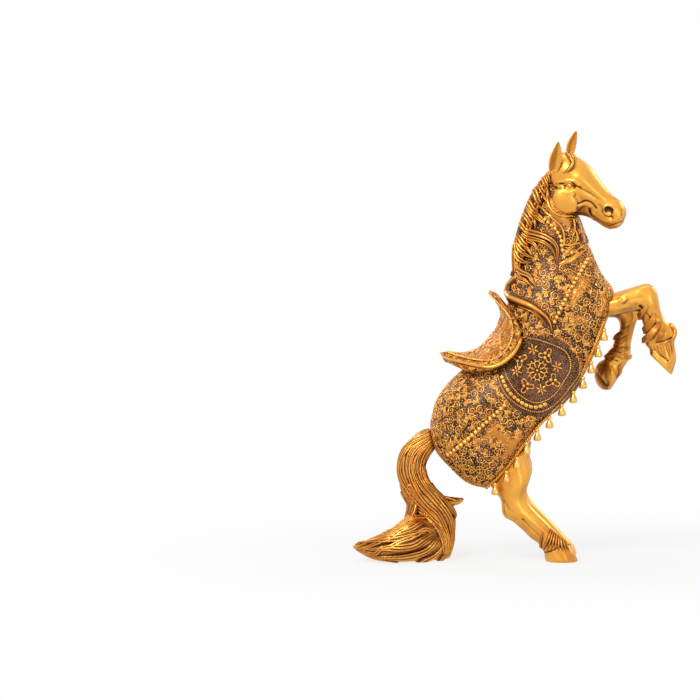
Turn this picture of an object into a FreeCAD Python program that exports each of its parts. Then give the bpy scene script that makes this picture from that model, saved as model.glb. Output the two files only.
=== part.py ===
import FreeCAD, Part
import math
import os
from bisect import bisect_right

# Rearing horse figurine in cast resin, with ornate barding, saddle and bell tassels.
# It stands on both hind hooves and on its tail.
# +X is the way the horse faces, +Y is its left side, +Z is up. The floor is Z zero.

V = FreeCAD.Vector
os.makedirs("parts", exist_ok=True)
doc = FreeCAD.newDocument("RearingHorse")

# Driving sizes in millimetres and degrees
SIZES = dict(
    # body, from the rump to the chest and up to the root of the neck
    torso_reach=156, torso_rise=177, haunch_width=84,
    # neck and mane
    neck_rise=94, throat_width=31, crest_height=7, crest_width=13,
    lock_width=7, lock_thickness=5,
    # head
    head_length=67, head_depth=42, head_width=30, head_pitch=38, head_turn=24, head_roll=15,
    ear_length=23, ear_width=10, ear_wall=2.4, ear_spread=21, ear_tilt=14, ear_lean=8,
    eye_diameter=6, nostril_diameter=6, forelock_width=8,
    # raised forelegs: right one high, left one folded lower
    foreleg_reach=64, foreleg_rise=77, foreleg_width=25, foreleg_spread=34,
    folded_reach=34, folded_rise=77,
    # hind legs
    hind_leg_reach=78, hind_leg_rise=103, hind_leg_width=29, hind_stance=54, hind_lead=1,
    # tail: a fall of hair that turns into a fan on the floor
    tail_reach=76, tail_width=28, fan_width=50, fan_offset=20, flick_reach=19,
    # saddle and round saddle cloths
    saddle_width=83, saddle_thickness=3.2, cloth_diameter=69, cloth_thickness=1.6,
    # strung trimmings
    bead_diameter=3.4, bead_pitch=4.1, rim_bead_diameter=2.2, rim_bead_pitch=4.2,
    collar_thickness=1.2, hem_thickness=1.6, hem_width=4, seat_play=0.3, lock_play=0.5,
    bell_height=7.2, bell_width=5.8, knot_diameter=3.4, bell_pitch=14.5,
    # steel dowels that locate the castings
    dowel_diameter=5, dowel_length=20, dowel_play=0.2,
)

sheet = doc.addObject("Spreadsheet::Sheet", "Sizes")
for row, (alias, value) in enumerate(SIZES.items(), start=1):
    sheet.set("A%d" % row, alias)
    sheet.set("B%d" % row, str(value))
    sheet.setAlias("B%d" % row, alias)
doc.recompute()


def size(alias):
    """The value of one driving size."""
    return float(sheet.get(alias))


# Facet counts round each form
TORSO_SIDES, HEAD_SIDES, LEG_SIDES, TAIL_SIDES, STRAND_SIDES = 20, 16, 10, 16, 6
BEAD_SIDES, RIM_BEAD_SIDES, BELL_SIDES, CLOTH_SIDES, DOWEL_SIDES = 5, 4, 5, 32, 6
SUBDIVISIONS = 2


def smooth(rows, steps=SUBDIVISIONS):
    """Rows of numbers with Catmull-Rom rows put between them."""
    out = []
    for i in range(len(rows) - 1):
        a, b = rows[max(i - 1, 0)], rows[i]
        c, d = rows[i + 1], rows[min(i + 2, len(rows) - 1)]
        for k in range(steps):
            w = k / steps
            out.append(tuple(
                ((2 * q) + (r - p) * w + (2 * p - 5 * q + 4 * r - s) * w * w
                 + (3 * q - p - 3 * r + s) * w ** 3) / 2 for p, q, r, s in zip(a, b, c, d)))
    out.append(tuple(rows[-1]))
    return out


def ring(top, bottom, half, sides, fullness=0, flatness=1, flute=0):
    """Closed cross-section between a top and a bottom point, half its width to each side.

    fullness moves the widest level towards the top; flatness under one squares the lower half;
    flute sinks every second corner, as between locks of hair.
    """
    centre, along = (top + bottom) / 2, (top - bottom) / 2
    points = []
    for k in range(sides):
        turn = 2 * math.pi * k / sides
        c, s = math.cos(turn), math.sin(turn)
        level = math.copysign(abs(c) ** (flatness if c < 0 else 1), c) + fullness * s * s
        deep = 1 - flute * (k % 2)
        points.append(centre + along * level * deep + V(0, half * s * deep, 0))
    return points


def triangle(p, q, r):
    return Part.Face(Part.makePolygon([p, q, r, p]))


def facets(low, high, k):
    """The two facets between corners k and k + 1 of two rings, alike on the left and right."""
    after = (k + 1) % len(low)
    if 2 * k < len(low):
        return (low[k], low[after], high[k]), (low[after], high[after], high[k])
    return (low[k], low[after], high[after]), (low[k], high[after], high[k])


def faceted(rings):
    """Closed solid through rings of equal count, of plane triangles, with flat ends."""
    faces = [triangle(*facet) for low, high in zip(rings, rings[1:])
             for k in range(len(low)) for facet in facets(low, high, k)]
    for end in (rings[0], rings[-1]):
        faces.append(Part.Face(Part.makePolygon(end + end[:1])))
    return closed(faces)


def closed(faces):
    """Solid enclosed by the faces, turned outwards."""
    shell = Part.makeShell(faces)
    shell.sewShape()
    solid = Part.makeSolid(shell)
    if solid.Volume < 0:
        solid.reverse()
    return solid


def ring_centre(points):
    return sum(points, V()) / len(points)


def strand(path, widths, thicks, sides=STRAND_SIDES, side_axis=V(0, 1, 0)):
    """Tapered lock of hair along a path; its width lies in the sheet of the path."""
    rings = []
    for i, point in enumerate(path):
        along = (path[min(i + 1, len(path) - 1)] - path[max(i - 1, 0)]).normalize()
        across = along.cross(side_axis).normalize()
        out = across.cross(along)
        rings.append([point + across * (widths[i] / 2 * math.cos(2 * math.pi * k / sides))
                      + out * (thicks[i] / 2 * math.sin(2 * math.pi * k / sides))
                      for k in range(sides)])
    return faceted(rings)


def mirrored(shape):
    return shape.mirror(V(), V(0, 1, 0))


def solid_part(label, shape):
    """Sub-part whose shape is worked out from the sheet by this file's functions."""
    part = doc.addObject("Part::Feature", label)
    part.Label = label
    part.Shape = shape
    return part


def largest(shape):
    """The biggest solid that a cut leaves."""
    return max(shape.Solids, key=lambda solid: solid.Volume)


# Torso
# Each row: back x and z, belly x and z, half width, as shares of the torso's own frame.
TORSO_SHARES = [
    (0.032, 0.161, 0.188, 0.028, 0.50), (0.000, 0.237, 0.306, 0.000, 0.80),
    (0.000, 0.322, 0.398, 0.076, 0.96), (0.027, 0.408, 0.478, 0.171, 1.00),
    (0.081, 0.483, 0.548, 0.261, 0.98), (0.161, 0.550, 0.629, 0.336, 0.94),
    (0.253, 0.616, 0.704, 0.403, 0.91), (0.328, 0.701, 0.774, 0.474, 0.90),
    (0.382, 0.787, 0.833, 0.559, 0.89), (0.409, 0.858, 0.892, 0.668, 0.87),
    (0.418, 0.915, 0.941, 0.796, 0.82), (0.428, 0.962, 0.989, 0.900, 0.74),
    (0.440, 1.000, 0.957, 0.967, 0.66)]
TORSO_FLATNESS, TORSO_FULLNESS = 0.24, -0.04
RUMP_HEIGHT_SHARE = 0.586

haunch = size("haunch_width") / 2
rump = V(0, 0, size("hind_leg_rise") * RUMP_HEIGHT_SHARE)


def on_torso(x_share, z_share, y=0):
    """Point of the torso's side-view frame."""
    return rump + V(x_share * size("torso_reach"), y, z_share * size("torso_rise"))


def torso_rings(swell=0):
    rings = []
    for back_x, back_z, belly_x, belly_z, half in smooth(TORSO_SHARES):
        back, belly = on_torso(back_x, back_z), on_torso(belly_x, belly_z)
        outward = (back - belly).normalize() * swell
        rings.append(ring(back + outward, belly - outward, half * haunch + swell, TORSO_SIDES,
                          TORSO_FULLNESS, TORSO_FLATNESS))
    return rings


torso_net = torso_rings()
torso = faceted(torso_net)

# Neck, whose lowest ring is the torso's highest
NECK_SHARES = [
    (0.085, 0.150, 0.918, 0.107, 0.90), (0.115, 0.250, 0.857, 0.223, 0.80),
    (0.150, 0.370, 0.786, 0.366, 0.70), (0.190, 0.495, 0.724, 0.500, 0.60),
    (0.240, 0.625, 0.673, 0.616, 0.54), (0.295, 0.750, 0.643, 0.679, 0.51),
    (0.370, 0.880, 0.612, 0.768, 0.48), (0.450, 0.980, 0.592, 0.875, 0.40)]
NECK_FULLNESS = -0.15
neck_base = torso_net[-1]
withers, breast = neck_base[0], neck_base[TORSO_SIDES // 2]
neck_reach = (breast.x - withers.x)
NECK_ORIGIN_SHARE = -0.010
neck_origin = V(withers.x + NECK_ORIGIN_SHARE * neck_reach, 0, breast.z)
base_half = TORSO_SHARES[-1][-1] * haunch
throat_half = size("throat_width") / 2
NECK_TOP_SHARE = NECK_SHARES[-2][-1]


def on_neck(x_share, z_share, y=0):
    """Point of the neck's side-view frame."""
    return neck_origin + V(x_share * neck_reach, y, z_share * size("neck_rise"))


def neck_half(share):
    """Half width that runs from the chest's to the throat's."""
    taper = (share - NECK_TOP_SHARE) / (1 - NECK_TOP_SHARE)
    return throat_half + (base_half - throat_half) * taper


neck_net = [neck_base]
neck_rows = [(0.020, 0.030, 0.985, 0.000, 1.0)] + NECK_SHARES
for back_x, back_z, front_x, front_z, half in smooth(neck_rows)[1:]:
    blend = min(1, (back_z + front_z) / (NECK_SHARES[0][1] + NECK_SHARES[0][3]))
    neck_net.append(ring(on_neck(back_x, back_z), on_neck(front_x, front_z), neck_half(half),
                         TORSO_SIDES, NECK_FULLNESS * blend + TORSO_FULLNESS * (1 - blend),
                         1 * blend + TORSO_FLATNESS * (1 - blend)))
neck_block = faceted(neck_net)

# Head, turned a little towards the horse's right
# Each row: along and above for the brow line and for the jaw line, then half width.
HEAD_SHARES = [
    (-0.14, 0.30, 0.02, -0.20, 0.55), (-0.12, 0.50, 0.13, -0.40, 0.80),
    (0.01, 0.58, 0.27, -0.52, 0.96), (0.16, 0.61, 0.44, -0.46, 1.00),
    (0.30, 0.59, 0.56, -0.33, 0.92), (0.45, 0.50, 0.66, -0.27, 0.76),
    (0.60, 0.43, 0.74, -0.25, 0.64), (0.73, 0.40, 0.85, -0.24, 0.62),
    (0.83, 0.41, 0.95, -0.18, 0.66), (0.94, 0.33, 1.01, -0.06, 0.60),
    (0.985, 0.22, 1.02, 0.02, 0.36)]
HEAD_FULLNESS, HEAD_FLATNESS = 0.16, 0.85
POLL_SHARES = (0.462, 0.955)
poll = on_neck(*POLL_SHARES)
head_frame = FreeCAD.Placement(poll, FreeCAD.Rotation(V(0, 0, 1), -size("head_turn")))
for axis, angle in ((V(1, 0, 0), size("head_roll")), (V(0, 1, 0), size("head_pitch"))):
    head_frame = head_frame * FreeCAD.Placement(V(), FreeCAD.Rotation(axis, angle))


def on_head(along_share, up_share, side_share=0):
    """Point in the head's turned and pitched frame."""
    local = V(along_share * size("head_length"), side_share * size("head_width") / 2,
              up_share * size("head_depth"))
    return head_frame.multVec(local)


def head_ring(brow_along, brow_up, jaw_along, jaw_up, half):
    flat = ring(V(brow_along * size("head_length"), 0, brow_up * size("head_depth")),
                V(jaw_along * size("head_length"), 0, jaw_up * size("head_depth")),
                half * size("head_width") / 2, HEAD_SIDES, HEAD_FULLNESS, HEAD_FLATNESS)
    return [head_frame.multVec(point) for point in flat]


head_block = faceted([head_ring(*row) for row in smooth(HEAD_SHARES)])


def ellipsoid(centre, length, depth, width, frame, sides=7, levels=3):
    """Faceted ellipsoid in a turned frame, cut flat a little short of its two ends."""
    rings = []
    for i in range(levels + 1):
        tilt = math.pi * (i + 0.5) / (levels + 1)
        rings.append([frame.Rotation.multVec(V(
            length / 2 * math.sin(tilt) * math.cos(2 * math.pi * k / sides),
            width / 2 * math.cos(tilt),
            depth / 2 * math.sin(tilt) * math.sin(2 * math.pi * k / sides))) + centre
            for k in range(sides)])
    return faceted(rings)


# Eyes, nostrils and the line of the mouth, mirrored about the head's own middle plane
EYE_SHARES, NOSTRIL_SHARES = (0.17, 0.22, 0.86), (0.86, 0.12, 0.60)
EYE_SLENDER_SHARE, NOSTRIL_SLENDER_SHARE, NOSTRIL_DEEP_SHARE = 0.7, 0.8, 0.9
MOUTH_SHARES = [(0.70, -0.10), (0.84, -0.09), (1.10, -0.02)]
MOUTH_GAP_SHARE = 0.012
features, hollows = [], []
for side in (-1, 1):
    eye = size("eye_diameter")
    along, up, out = EYE_SHARES
    features.append(ellipsoid(on_head(along, up, side * out), eye, eye * EYE_SLENDER_SHARE,
                              eye * EYE_SLENDER_SHARE, head_frame))
    bore = size("nostril_diameter")
    along, up, out = NOSTRIL_SHARES
    hollows.append(ellipsoid(on_head(along, up, side * out), bore, bore * NOSTRIL_SLENDER_SHARE,
                             bore * NOSTRIL_DEEP_SHARE, head_frame))
upper = [on_head(a, u + MOUTH_GAP_SHARE, -1) for a, u in MOUTH_SHARES[1:]]
lower = [on_head(a, u - MOUTH_GAP_SHARE, -1) for a, u in MOUTH_SHARES[1:]]
slit = [on_head(*MOUTH_SHARES[0], -1)] + lower + upper[::-1]
across_head = head_frame.Rotation.multVec(V(0, size("head_width"), 0))
hollows.append(Part.Face(Part.makePolygon(slit + slit[:1])).extrude(across_head))
head_solid = head_block.fuse(features).cut(hollows)

# Ears: cupped leaves on the poll
EAR_WIDTH_SHARES = [0.55, 0.95, 1.00, 0.82, 0.50, 0.10]
EAR_PLACE_SHARES = (-0.06, 0.44)
EAR_ROOT_SHARE, EAR_CUP_SHARE, EAR_FOLD_SHARE = 0.22, 0.55, 0.8
EAR_STEPS = 4


def ear(side):
    turn = FreeCAD.Rotation(V(1, 0, 0), size("head_roll") - side * size("ear_tilt"))
    turn = turn * FreeCAD.Rotation(V(0, 1, 0), size("ear_lean"))
    turn = FreeCAD.Rotation(V(0, 0, 1), -size("head_turn")) * turn
    along, up = EAR_PLACE_SHARES
    base = on_head(along, up, side * size("ear_spread") / size("head_width"))
    rings = []
    for level, share in enumerate(EAR_WIDTH_SHARES):
        rise = (level / (len(EAR_WIDTH_SHARES) - 1) - EAR_ROOT_SHARE) * size("ear_length")
        half = share * size("ear_width") / 2
        cup, wall = half * EAR_CUP_SHARE, size("ear_wall") * share
        outline = []
        for k in range(EAR_STEPS + 1):
            bend = math.pi * k / EAR_STEPS
            outline.append(V(cup - 2 * cup * math.sin(bend), half * math.cos(bend), rise))
        for k in range(1, EAR_STEPS):
            bend = math.pi * (1 - k / EAR_STEPS)
            outline.append(V(cup - 2 * cup * math.sin(bend) + wall,
                             half * math.cos(bend) * EAR_FOLD_SHARE, rise))
        rings.append([base + turn.multVec(point) for point in outline])
    return faceted(rings)


# Legs: each row is front x and z, rear x and z, half width, place across
HIND_SHARES = [
    (0.505, 0.976, 0.000, 0.650, 0.90, 0.66), (0.473, 0.854, 0.075, 0.585, 1.00, 0.69),
    (0.509, 0.758, 0.129, 0.537, 0.94, 0.74), (0.489, 0.685, 0.167, 0.488, 0.82, 0.82),
    (0.452, 0.598, 0.172, 0.439, 0.68, 0.86), (0.446, 0.540, 0.177, 0.395, 0.62, 0.88),
    (0.471, 0.482, 0.211, 0.351, 0.60, 0.90), (0.527, 0.424, 0.280, 0.329, 0.54, 0.92),
    (0.624, 0.350, 0.403, 0.250, 0.50, 0.94), (0.720, 0.276, 0.480, 0.192, 0.52, 0.96),
    (0.806, 0.207, 0.567, 0.148, 0.60, 0.98), (0.865, 0.155, 0.610, 0.106, 0.68, 1.00),
    (0.914, 0.122, 0.624, 0.073, 0.70, 1.00)]
HIND_HOOF_SHARES = [(0.968, 0.065, 0.634, 0.041, 0.78, 1.00), (1.000, 0.000, 0.645, 0.000, 0.84, 1.00)]
RAISED_SHARES = [
    (0.000, 0.070, 0.000, -0.150, 0.90, 0.90), (0.247, 0.130, 0.158, -0.152, 1.00, 0.98),
    (0.403, 0.170, 0.289, -0.120, 0.88, 1.02), (0.566, 0.209, 0.447, -0.098, 0.78, 1.02),
    (0.684, 0.185, 0.507, -0.103, 0.80, 1.00), (0.743, 0.087, 0.526, -0.152, 0.80, 1.00),
    (0.763, -0.011, 0.533, -0.196, 0.66, 1.00), (0.795, -0.115, 0.546, -0.239, 0.54, 1.00),
    (0.854, -0.203, 0.592, -0.293, 0.56, 1.00), (0.934, -0.261, 0.596, -0.326, 0.68, 1.00),
    (0.980, -0.326, 0.572, -0.380, 0.74, 1.00), (0.982, -0.391, 0.575, -0.450, 0.70, 1.00),
    (0.961, -0.449, 0.634, -0.511, 0.70, 1.00)]
RAISED_HOOF_SHARES = [(0.993, -0.609, 0.634, -0.533, 0.80, 1.00), (0.928, -0.793, 0.629, -0.554, 0.86, 1.00)]
FOLDED_SHARES = [
    (0.200, 0.043, 0.000, -0.196, 0.90, 0.90), (0.800, 0.000, 0.300, -0.196, 0.96, 1.00),
    (1.000, -0.087, 0.425, -0.203, 0.82, 1.00), (1.000, -0.174, 0.493, -0.252, 0.76, 1.00),
    (0.925, -0.242, 0.493, -0.341, 0.62, 1.00), (0.855, -0.351, 0.380, -0.420, 0.56, 1.00),
    (0.787, -0.498, 0.325, -0.511, 0.60, 1.00), (0.787, -0.597, 0.212, -0.565, 0.70, 1.00),
    (0.725, -0.674, 0.132, -0.636, 0.74, 1.00), (0.625, -0.734, 0.065, -0.665, 0.70, 1.00)]
FOLDED_HOOF_SHARES = [(0.537, -0.815, -0.025, -0.717, 0.80, 1.00), (0.275, -1.000, -0.075, -0.761, 0.86, 1.00)]
FORELEG_ROOT_SHARES = (0.909, 0.882)
HIP_SHARE = 0.290


def leg(shares, hoof_shares, origin, reach, rise, width, spread):
    """Leg and hoof that share one ring, and the rings of the leg."""
    nets = []
    for fx, fz, rx, rz, half, place in smooth(shares + hoof_shares):
        front = origin + V(fx * reach, place * spread, fz * rise)
        rear = origin + V(rx * reach, place * spread, rz * rise)
        nets.append(ring(front, rear, half * width / 2, LEG_SIDES))
    split = SUBDIVISIONS * (len(shares) - 1)
    return faceted(nets[:split + 1]), faceted(nets[split:]), nets


RAISED_FORELEG = (RAISED_SHARES, RAISED_HOOF_SHARES, "foreleg_reach", "foreleg_rise")
FOLDED_FORELEG = (FOLDED_SHARES, FOLDED_HOOF_SHARES, "folded_reach", "folded_rise")
limbs, hooves, limb_nets = {}, {}, {}
for name, side, lead, form in (("right", -1, 0, RAISED_FORELEG),
                               ("left", 1, size("hind_lead"), FOLDED_FORELEG)):
    hip = V(on_torso(HIP_SHARE, 0).x + lead, 0, 0)
    key = "hind_leg_" + name
    limbs[key], hooves["hind_hoof_" + name], limb_nets[key] = leg(
        HIND_SHARES, HIND_HOOF_SHARES, hip, size("hind_leg_reach"), size("hind_leg_rise"),
        size("hind_leg_width"), side * size("hind_stance") / 2)
    shares, hoof_shares, reach, rise = form
    key = "foreleg_" + name
    limbs[key], hooves["fore_hoof_" + name], limb_nets[key] = leg(
        shares, hoof_shares, on_torso(*FORELEG_ROOT_SHARES), size(reach), size(rise),
        size("foreleg_width"), side * size("foreleg_spread") / 2)

# Tail: the fall leaves the rump, turns down and stands on the floor, and a fan lies beside it
FALL_SHARES = [
    (0.030, 1.015, 0.120, 0.820, 0.70, 0.00), (-0.111, 0.998, -0.022, 0.820, 0.78, 0.00),
    (-0.244, 0.966, -0.062, 0.803, 0.86, 0.02), (-0.340, 0.910, -0.111, 0.762, 0.92, 0.04),
    (-0.437, 0.827, -0.147, 0.705, 0.98, 0.06), (-0.489, 0.722, -0.134, 0.639, 1.00, 0.10),
    (-0.472, 0.599, -0.100, 0.583, 0.98, 0.14), (-0.424, 0.509, -0.027, 0.526, 0.96, 0.18),
    (-0.364, 0.436, 0.070, 0.468, 0.98, 0.22), (-0.306, 0.353, 0.144, 0.383, 1.00, 0.24),
    (-0.233, 0.263, 0.178, 0.271, 0.96, 0.26), (-0.133, 0.158, 0.167, 0.150, 0.84, 0.28),
    (-0.033, 0.060, 0.130, 0.068, 0.60, 0.28), (0.000, 0.000, 0.085, 0.000, 0.40, 0.28)]
FAN_SHARES = [
    (0.089, 0.190, 0.111, 0.020, 0.30, 0.50), (-0.020, 0.280, 0.030, -0.012, 0.62, 0.65),
    (-0.150, 0.320, -0.133, -0.018, 0.86, 0.80), (-0.289, 0.340, -0.289, -0.018, 0.98, 0.95),
    (-0.389, 0.300, -0.422, -0.018, 1.00, 1.00), (-0.511, 0.236, -0.556, -0.016, 0.94, 1.05),
    (-0.633, 0.196, -0.689, -0.004, 0.80, 1.10), (-0.756, 0.166, -0.800, 0.020, 0.60, 1.10),
    (-0.867, 0.142, -0.889, 0.055, 0.36, 1.05), (-0.978, 0.126, -0.978, 0.100, 0.10, 1.00)]
FAN_FLATNESS, FLUTE_SHARE = 0.35, 0.2
FLICK_SHARES = [(0.06, 0.42), (0.13, 0.435), (0.20, 0.43), (0.25, 0.445), (0.28, 0.46)]
FLICK_WIDTH_SHARES = [0.45, 0.50, 0.42, 0.28, 0.08]
DOCK_SHARES = (0.048, 0.289)
dock = on_torso(*DOCK_SHARES)


def on_tail(x_share, z_share, y_share=0):
    """Point of the tail's frame: below the dock, with heights as shares of the dock's height."""
    return V(dock.x + x_share * size("tail_reach"), -y_share * size("fan_offset"), z_share * dock.z)


def hair_rings(shares, width, flatness=1):
    return [ring(on_tail(tx, tz, place), on_tail(bx, bz, place), half * width / 2, TAIL_SIDES,
                 0, flatness, FLUTE_SHARE) for tx, tz, bx, bz, half, place in smooth(shares)]


fall_net = hair_rings(FALL_SHARES, size("tail_width"))
fall = faceted(fall_net)
fan = faceted(hair_rings(FAN_SHARES, size("fan_width"), FAN_FLATNESS))
# The fan is ground flat where it stands on the floor
span = size("torso_reach")
ground = Part.makeBox(2 * span, span, span, V(dock.x - span, -span / 2, -span))
fan = largest(fan.cut(ground))
FLICK_PLACE_SHARE = 0.2
flick_path = [on_tail(x, z, FLICK_PLACE_SHARE) for x, z in FLICK_SHARES]
flick_widths = [share * size("flick_reach") for share in FLICK_WIDTH_SHARES]
flick = strand(flick_path, flick_widths, flick_widths)

# Saddle: a dished seat whose pommel and cantle sweep up, with a flared rim on each side
# Each row: ridge x and z, rim x and z in the torso's frame, then half width.
SADDLE_SHARES = [
    (0.056, 0.645, 0.062, 0.622, 0.10), (0.129, 0.638, 0.113, 0.597, 0.44),
    (0.188, 0.640, 0.177, 0.567, 0.70), (0.242, 0.655, 0.273, 0.567, 0.88),
    (0.285, 0.688, 0.365, 0.589, 0.97), (0.320, 0.723, 0.425, 0.627, 1.00),
    (0.355, 0.768, 0.462, 0.678, 1.00), (0.371, 0.818, 0.478, 0.731, 0.99),
    (0.363, 0.858, 0.470, 0.774, 0.92), (0.336, 0.896, 0.427, 0.839, 0.74),
    (0.312, 0.928, 0.365, 0.894, 0.46), (0.280, 0.958, 0.300, 0.940, 0.12)]
# Across the saddle: how far down from the ridge to the rim, how far out, how deep below
SADDLE_TOP_SHARES = [(0.28, 0.56, 0.2), (0.62, 0.84, 0.5), (1.0, 1.0, 0)]
SADDLE_UNDER_SHARES = [(1.0, 0.96, 1), (0.62, 0.74, 2.0), (0.28, 0.44, 2.4)]
SEAT_DEPTH_SHARE = 2.6


def saddle_ring(ridge_x, ridge_z, rim_x, rim_z, half):
    ridge, rim = on_torso(ridge_x, ridge_z), on_torso(rim_x, rim_z)
    inward = (rim - ridge).normalize() * size("saddle_thickness")
    flare = V(0, half * size("saddle_width") / 2, 0)
    drop = rim - inward - ridge
    near = [ridge + drop * down - flare * out + inward * deep
            for down, out, deep in SADDLE_TOP_SHARES + SADDLE_UNDER_SHARES]
    far = [V(point.x, -point.y, point.z) for point in reversed(near)]
    return [ridge] + near + [ridge + inward * SEAT_DEPTH_SHARE] + far


saddle_net = [saddle_ring(*row) for row in smooth(SADDLE_SHARES)]
saddle = largest(faceted(saddle_net).cut(torso))

# Round saddle cloths: discs laid over the flanks, under the saddle's rim
CLOTH_PLACE_SHARES = (0.580, 0.545)
swollen = faceted(torso_rings(size("cloth_thickness")))
blank = doc.addObject("Part::Prism", "cloth_blank")
blank.Polygon = CLOTH_SIDES
blank.setExpression("Circumradius", "Sizes.cloth_diameter / 2")
blank.setExpression("Height", "Sizes.haunch_width / 2 + Sizes.cloth_thickness")
blank.Placement = FreeCAD.Placement(on_torso(*CLOTH_PLACE_SHARES), FreeCAD.Rotation(V(1, 0, 0), 90))
doc.recompute()
cloth = largest(blank.Shape.common(swollen).cut(torso).cut(saddle))

# Trimmings lie on the skin of torso and neck, found along the horse's width
skin = []
for net in (torso_net, neck_net):
    half_turn = len(net[0]) // 2
    for low, high in zip(net, net[1:]):
        for k in range(half_turn):
            skin += facets(low, high, k)
cores = [ring_centre(points) for points in torso_net + neck_net]
DRAW_IN_SHARE = 0.08


def skin_hit(target):
    """Half width and outward normal of the skin at a place of the side view, if it has one."""
    best = None
    for p, q, r in skin:
        span = (q.x - p.x) * (r.z - p.z) - (r.x - p.x) * (q.z - p.z)
        if span == 0:
            continue
        u = ((target.x - p.x) * (r.z - p.z) - (r.x - p.x) * (target.z - p.z)) / span
        w = ((q.x - p.x) * (target.z - p.z) - (target.x - p.x) * (q.z - p.z)) / span
        if min(u, w) < 0 or u + w > 1:
            continue
        y = p.y + u * (q.y - p.y) + w * (r.y - p.y)
        if best is None or y > best[0]:
            normal = (q - p).cross(r - p).normalize()
            best = (y, normal if normal.y > 0 else -normal)
    return best


def on_skin(x_share, z_share, side=-1):
    """Point of the skin at a place of the torso's side view, and its outward normal.

    A place beyond the outline is drawn in towards the middle of the body.
    """
    target = on_torso(x_share, z_share)
    core = min(cores, key=lambda centre: (centre - target).Length)
    best = skin_hit(target)
    while best is None:
        target += (core - target) * DRAW_IN_SHARE
        best = skin_hit(target)
    y, normal = best
    return V(target.x, side * y, target.z), V(normal.x, side * normal.y, normal.z)


def along(points, pitch):
    """Places at even pitch along a path of points with normals."""
    lengths = [0]
    for (p, _), (q, _) in zip(points, points[1:]):
        lengths.append(lengths[-1] + (q - p).Length)
    count = max(2, round(lengths[-1] / pitch))
    out = []
    for i in range(count):
        reach = lengths[-1] * (i + 0.5) / count
        k = min(bisect_right(lengths, reach) - 1, len(points) - 2)
        w = (reach - lengths[k]) / (lengths[k + 1] - lengths[k])
        (p, m), (q, n) = points[k], points[k + 1]
        out.append((p + (q - p) * w, (m + (n - m) * w).normalize()))
    return out


DOME_SHARES = [(0, 1.0), (0.72, 0.62)]
SEAT_PLAY = size("seat_play")


def dome(base, normal, radius, sides=BEAD_SIDES):
    """Bead that rises from its seat."""
    turn = FreeCAD.Rotation(V(0, 0, 1), normal)
    rings = []
    for height, width in DOME_SHARES:
        rings.append([base + turn.multVec(V(
            radius * width * math.cos(2 * math.pi * k / sides),
            radius * width * math.sin(2 * math.pi * k / sides), radius * height))
            for k in range(sides)])
    return faceted(rings)


def ribbon(path, widths, thicks, play=SEAT_PLAY):
    """Strip or lock laid on the skin, flat beneath and rounded above."""
    rings = []
    for i, (point, normal) in enumerate(path):
        forward = (path[min(i + 1, len(path) - 1)][0] - path[max(i - 1, 0)][0]).normalize()
        across = forward.cross(normal).normalize()
        rings.append([point + across * (a * widths[i]) + normal * (play + h * thicks[i])
                      for a, h in RIBBON_SHARES])
    return faceted(rings)


RIBBON_SHARES = [(-0.5, 0), (-0.22, 1), (0.22, 1), (0.5, 0)]


def bead_row(path_shares, diameter, pitch):
    """Row of beads seated on the skin along a side-view path."""
    path = [on_skin(*place) for place in smooth(path_shares)]
    return [dome(point + normal * SEAT_PLAY, normal, diameter / 2)
            for point, normal in along(path, pitch)]


SHOULDER_ROW_SHARES = [(0.838, 1.095), (0.796, 1.033), (0.747, 0.962), (0.694, 0.872), (0.650, 0.790)]
HAUNCH_ROW_SHARES = [(0.398, 0.417), (0.317, 0.351), (0.237, 0.284), (0.145, 0.209), (0.085, 0.165)]
COLLAR_ROW_SHARES = [(0.600, 1.280), (0.661, 1.232), (0.694, 1.180), (0.700, 1.132), (0.760, 1.120)]
shoulder_row = bead_row(SHOULDER_ROW_SHARES, size("bead_diameter"), size("bead_pitch"))
haunch_row = bead_row(HAUNCH_ROW_SHARES, size("bead_diameter"), size("bead_pitch"))
collar_row = bead_row(COLLAR_ROW_SHARES, size("bead_diameter"), size("bead_pitch"))

# Beads along the edge of the saddle
RIM_POINT = len(SADDLE_TOP_SHARES)
rim_path = []
for before, here, following in zip(saddle_net, saddle_net[1:], saddle_net[2:]):
    lip, under = here[RIM_POINT], here[RIM_POINT + 1]
    outward = (following[RIM_POINT] - before[RIM_POINT]).cross(under - lip).normalize()
    rim_path.append(((lip + under) / 2, outward if outward.y < 0 else -outward))
rim_row = [dome(point + normal * SEAT_PLAY, normal, size("rim_bead_diameter") / 2, RIM_BEAD_SIDES)
           for point, normal in along(rim_path, size("rim_bead_pitch"))]

# Bib: a panel on the front of the neck below the jaw, face to face with it
BIB_LEVELS, BIB_SIDES = (6, 13), (7, 13)


def panel(net, levels, sides, thickness):
    """Plate on a stretch of a net, of even thickness, whose back is the net's own facets."""
    inner = net[levels[0]:levels[1] + 1]
    outer = []
    for points in inner:
        centre = ring_centre(points)
        outer.append([p + (p - centre).normalize() * thickness for p in points])
    faces = []
    for grid in (inner, outer):
        for low, high in zip(grid, grid[1:]):
            for k in range(*sides):
                faces += [triangle(*facet) for facet in facets(low, high, k)]
    first, last = sides[0], sides[1] + 1
    edges = [(near[first:last], far[first:last]) for near, far in
             ((inner[0], outer[0]), (inner[-1], outer[-1]))]
    edges += [([points[k] for points in inner], [points[k] for points in outer]) for k in sides]
    for near, far in edges:
        for k in range(len(near) - 1):
            faces.append(triangle(near[k], near[k + 1], far[k]))
            faces.append(triangle(near[k + 1], far[k + 1], far[k]))
    return closed(faces)


bib = panel(neck_net, BIB_LEVELS, BIB_SIDES, size("collar_thickness"))

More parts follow.
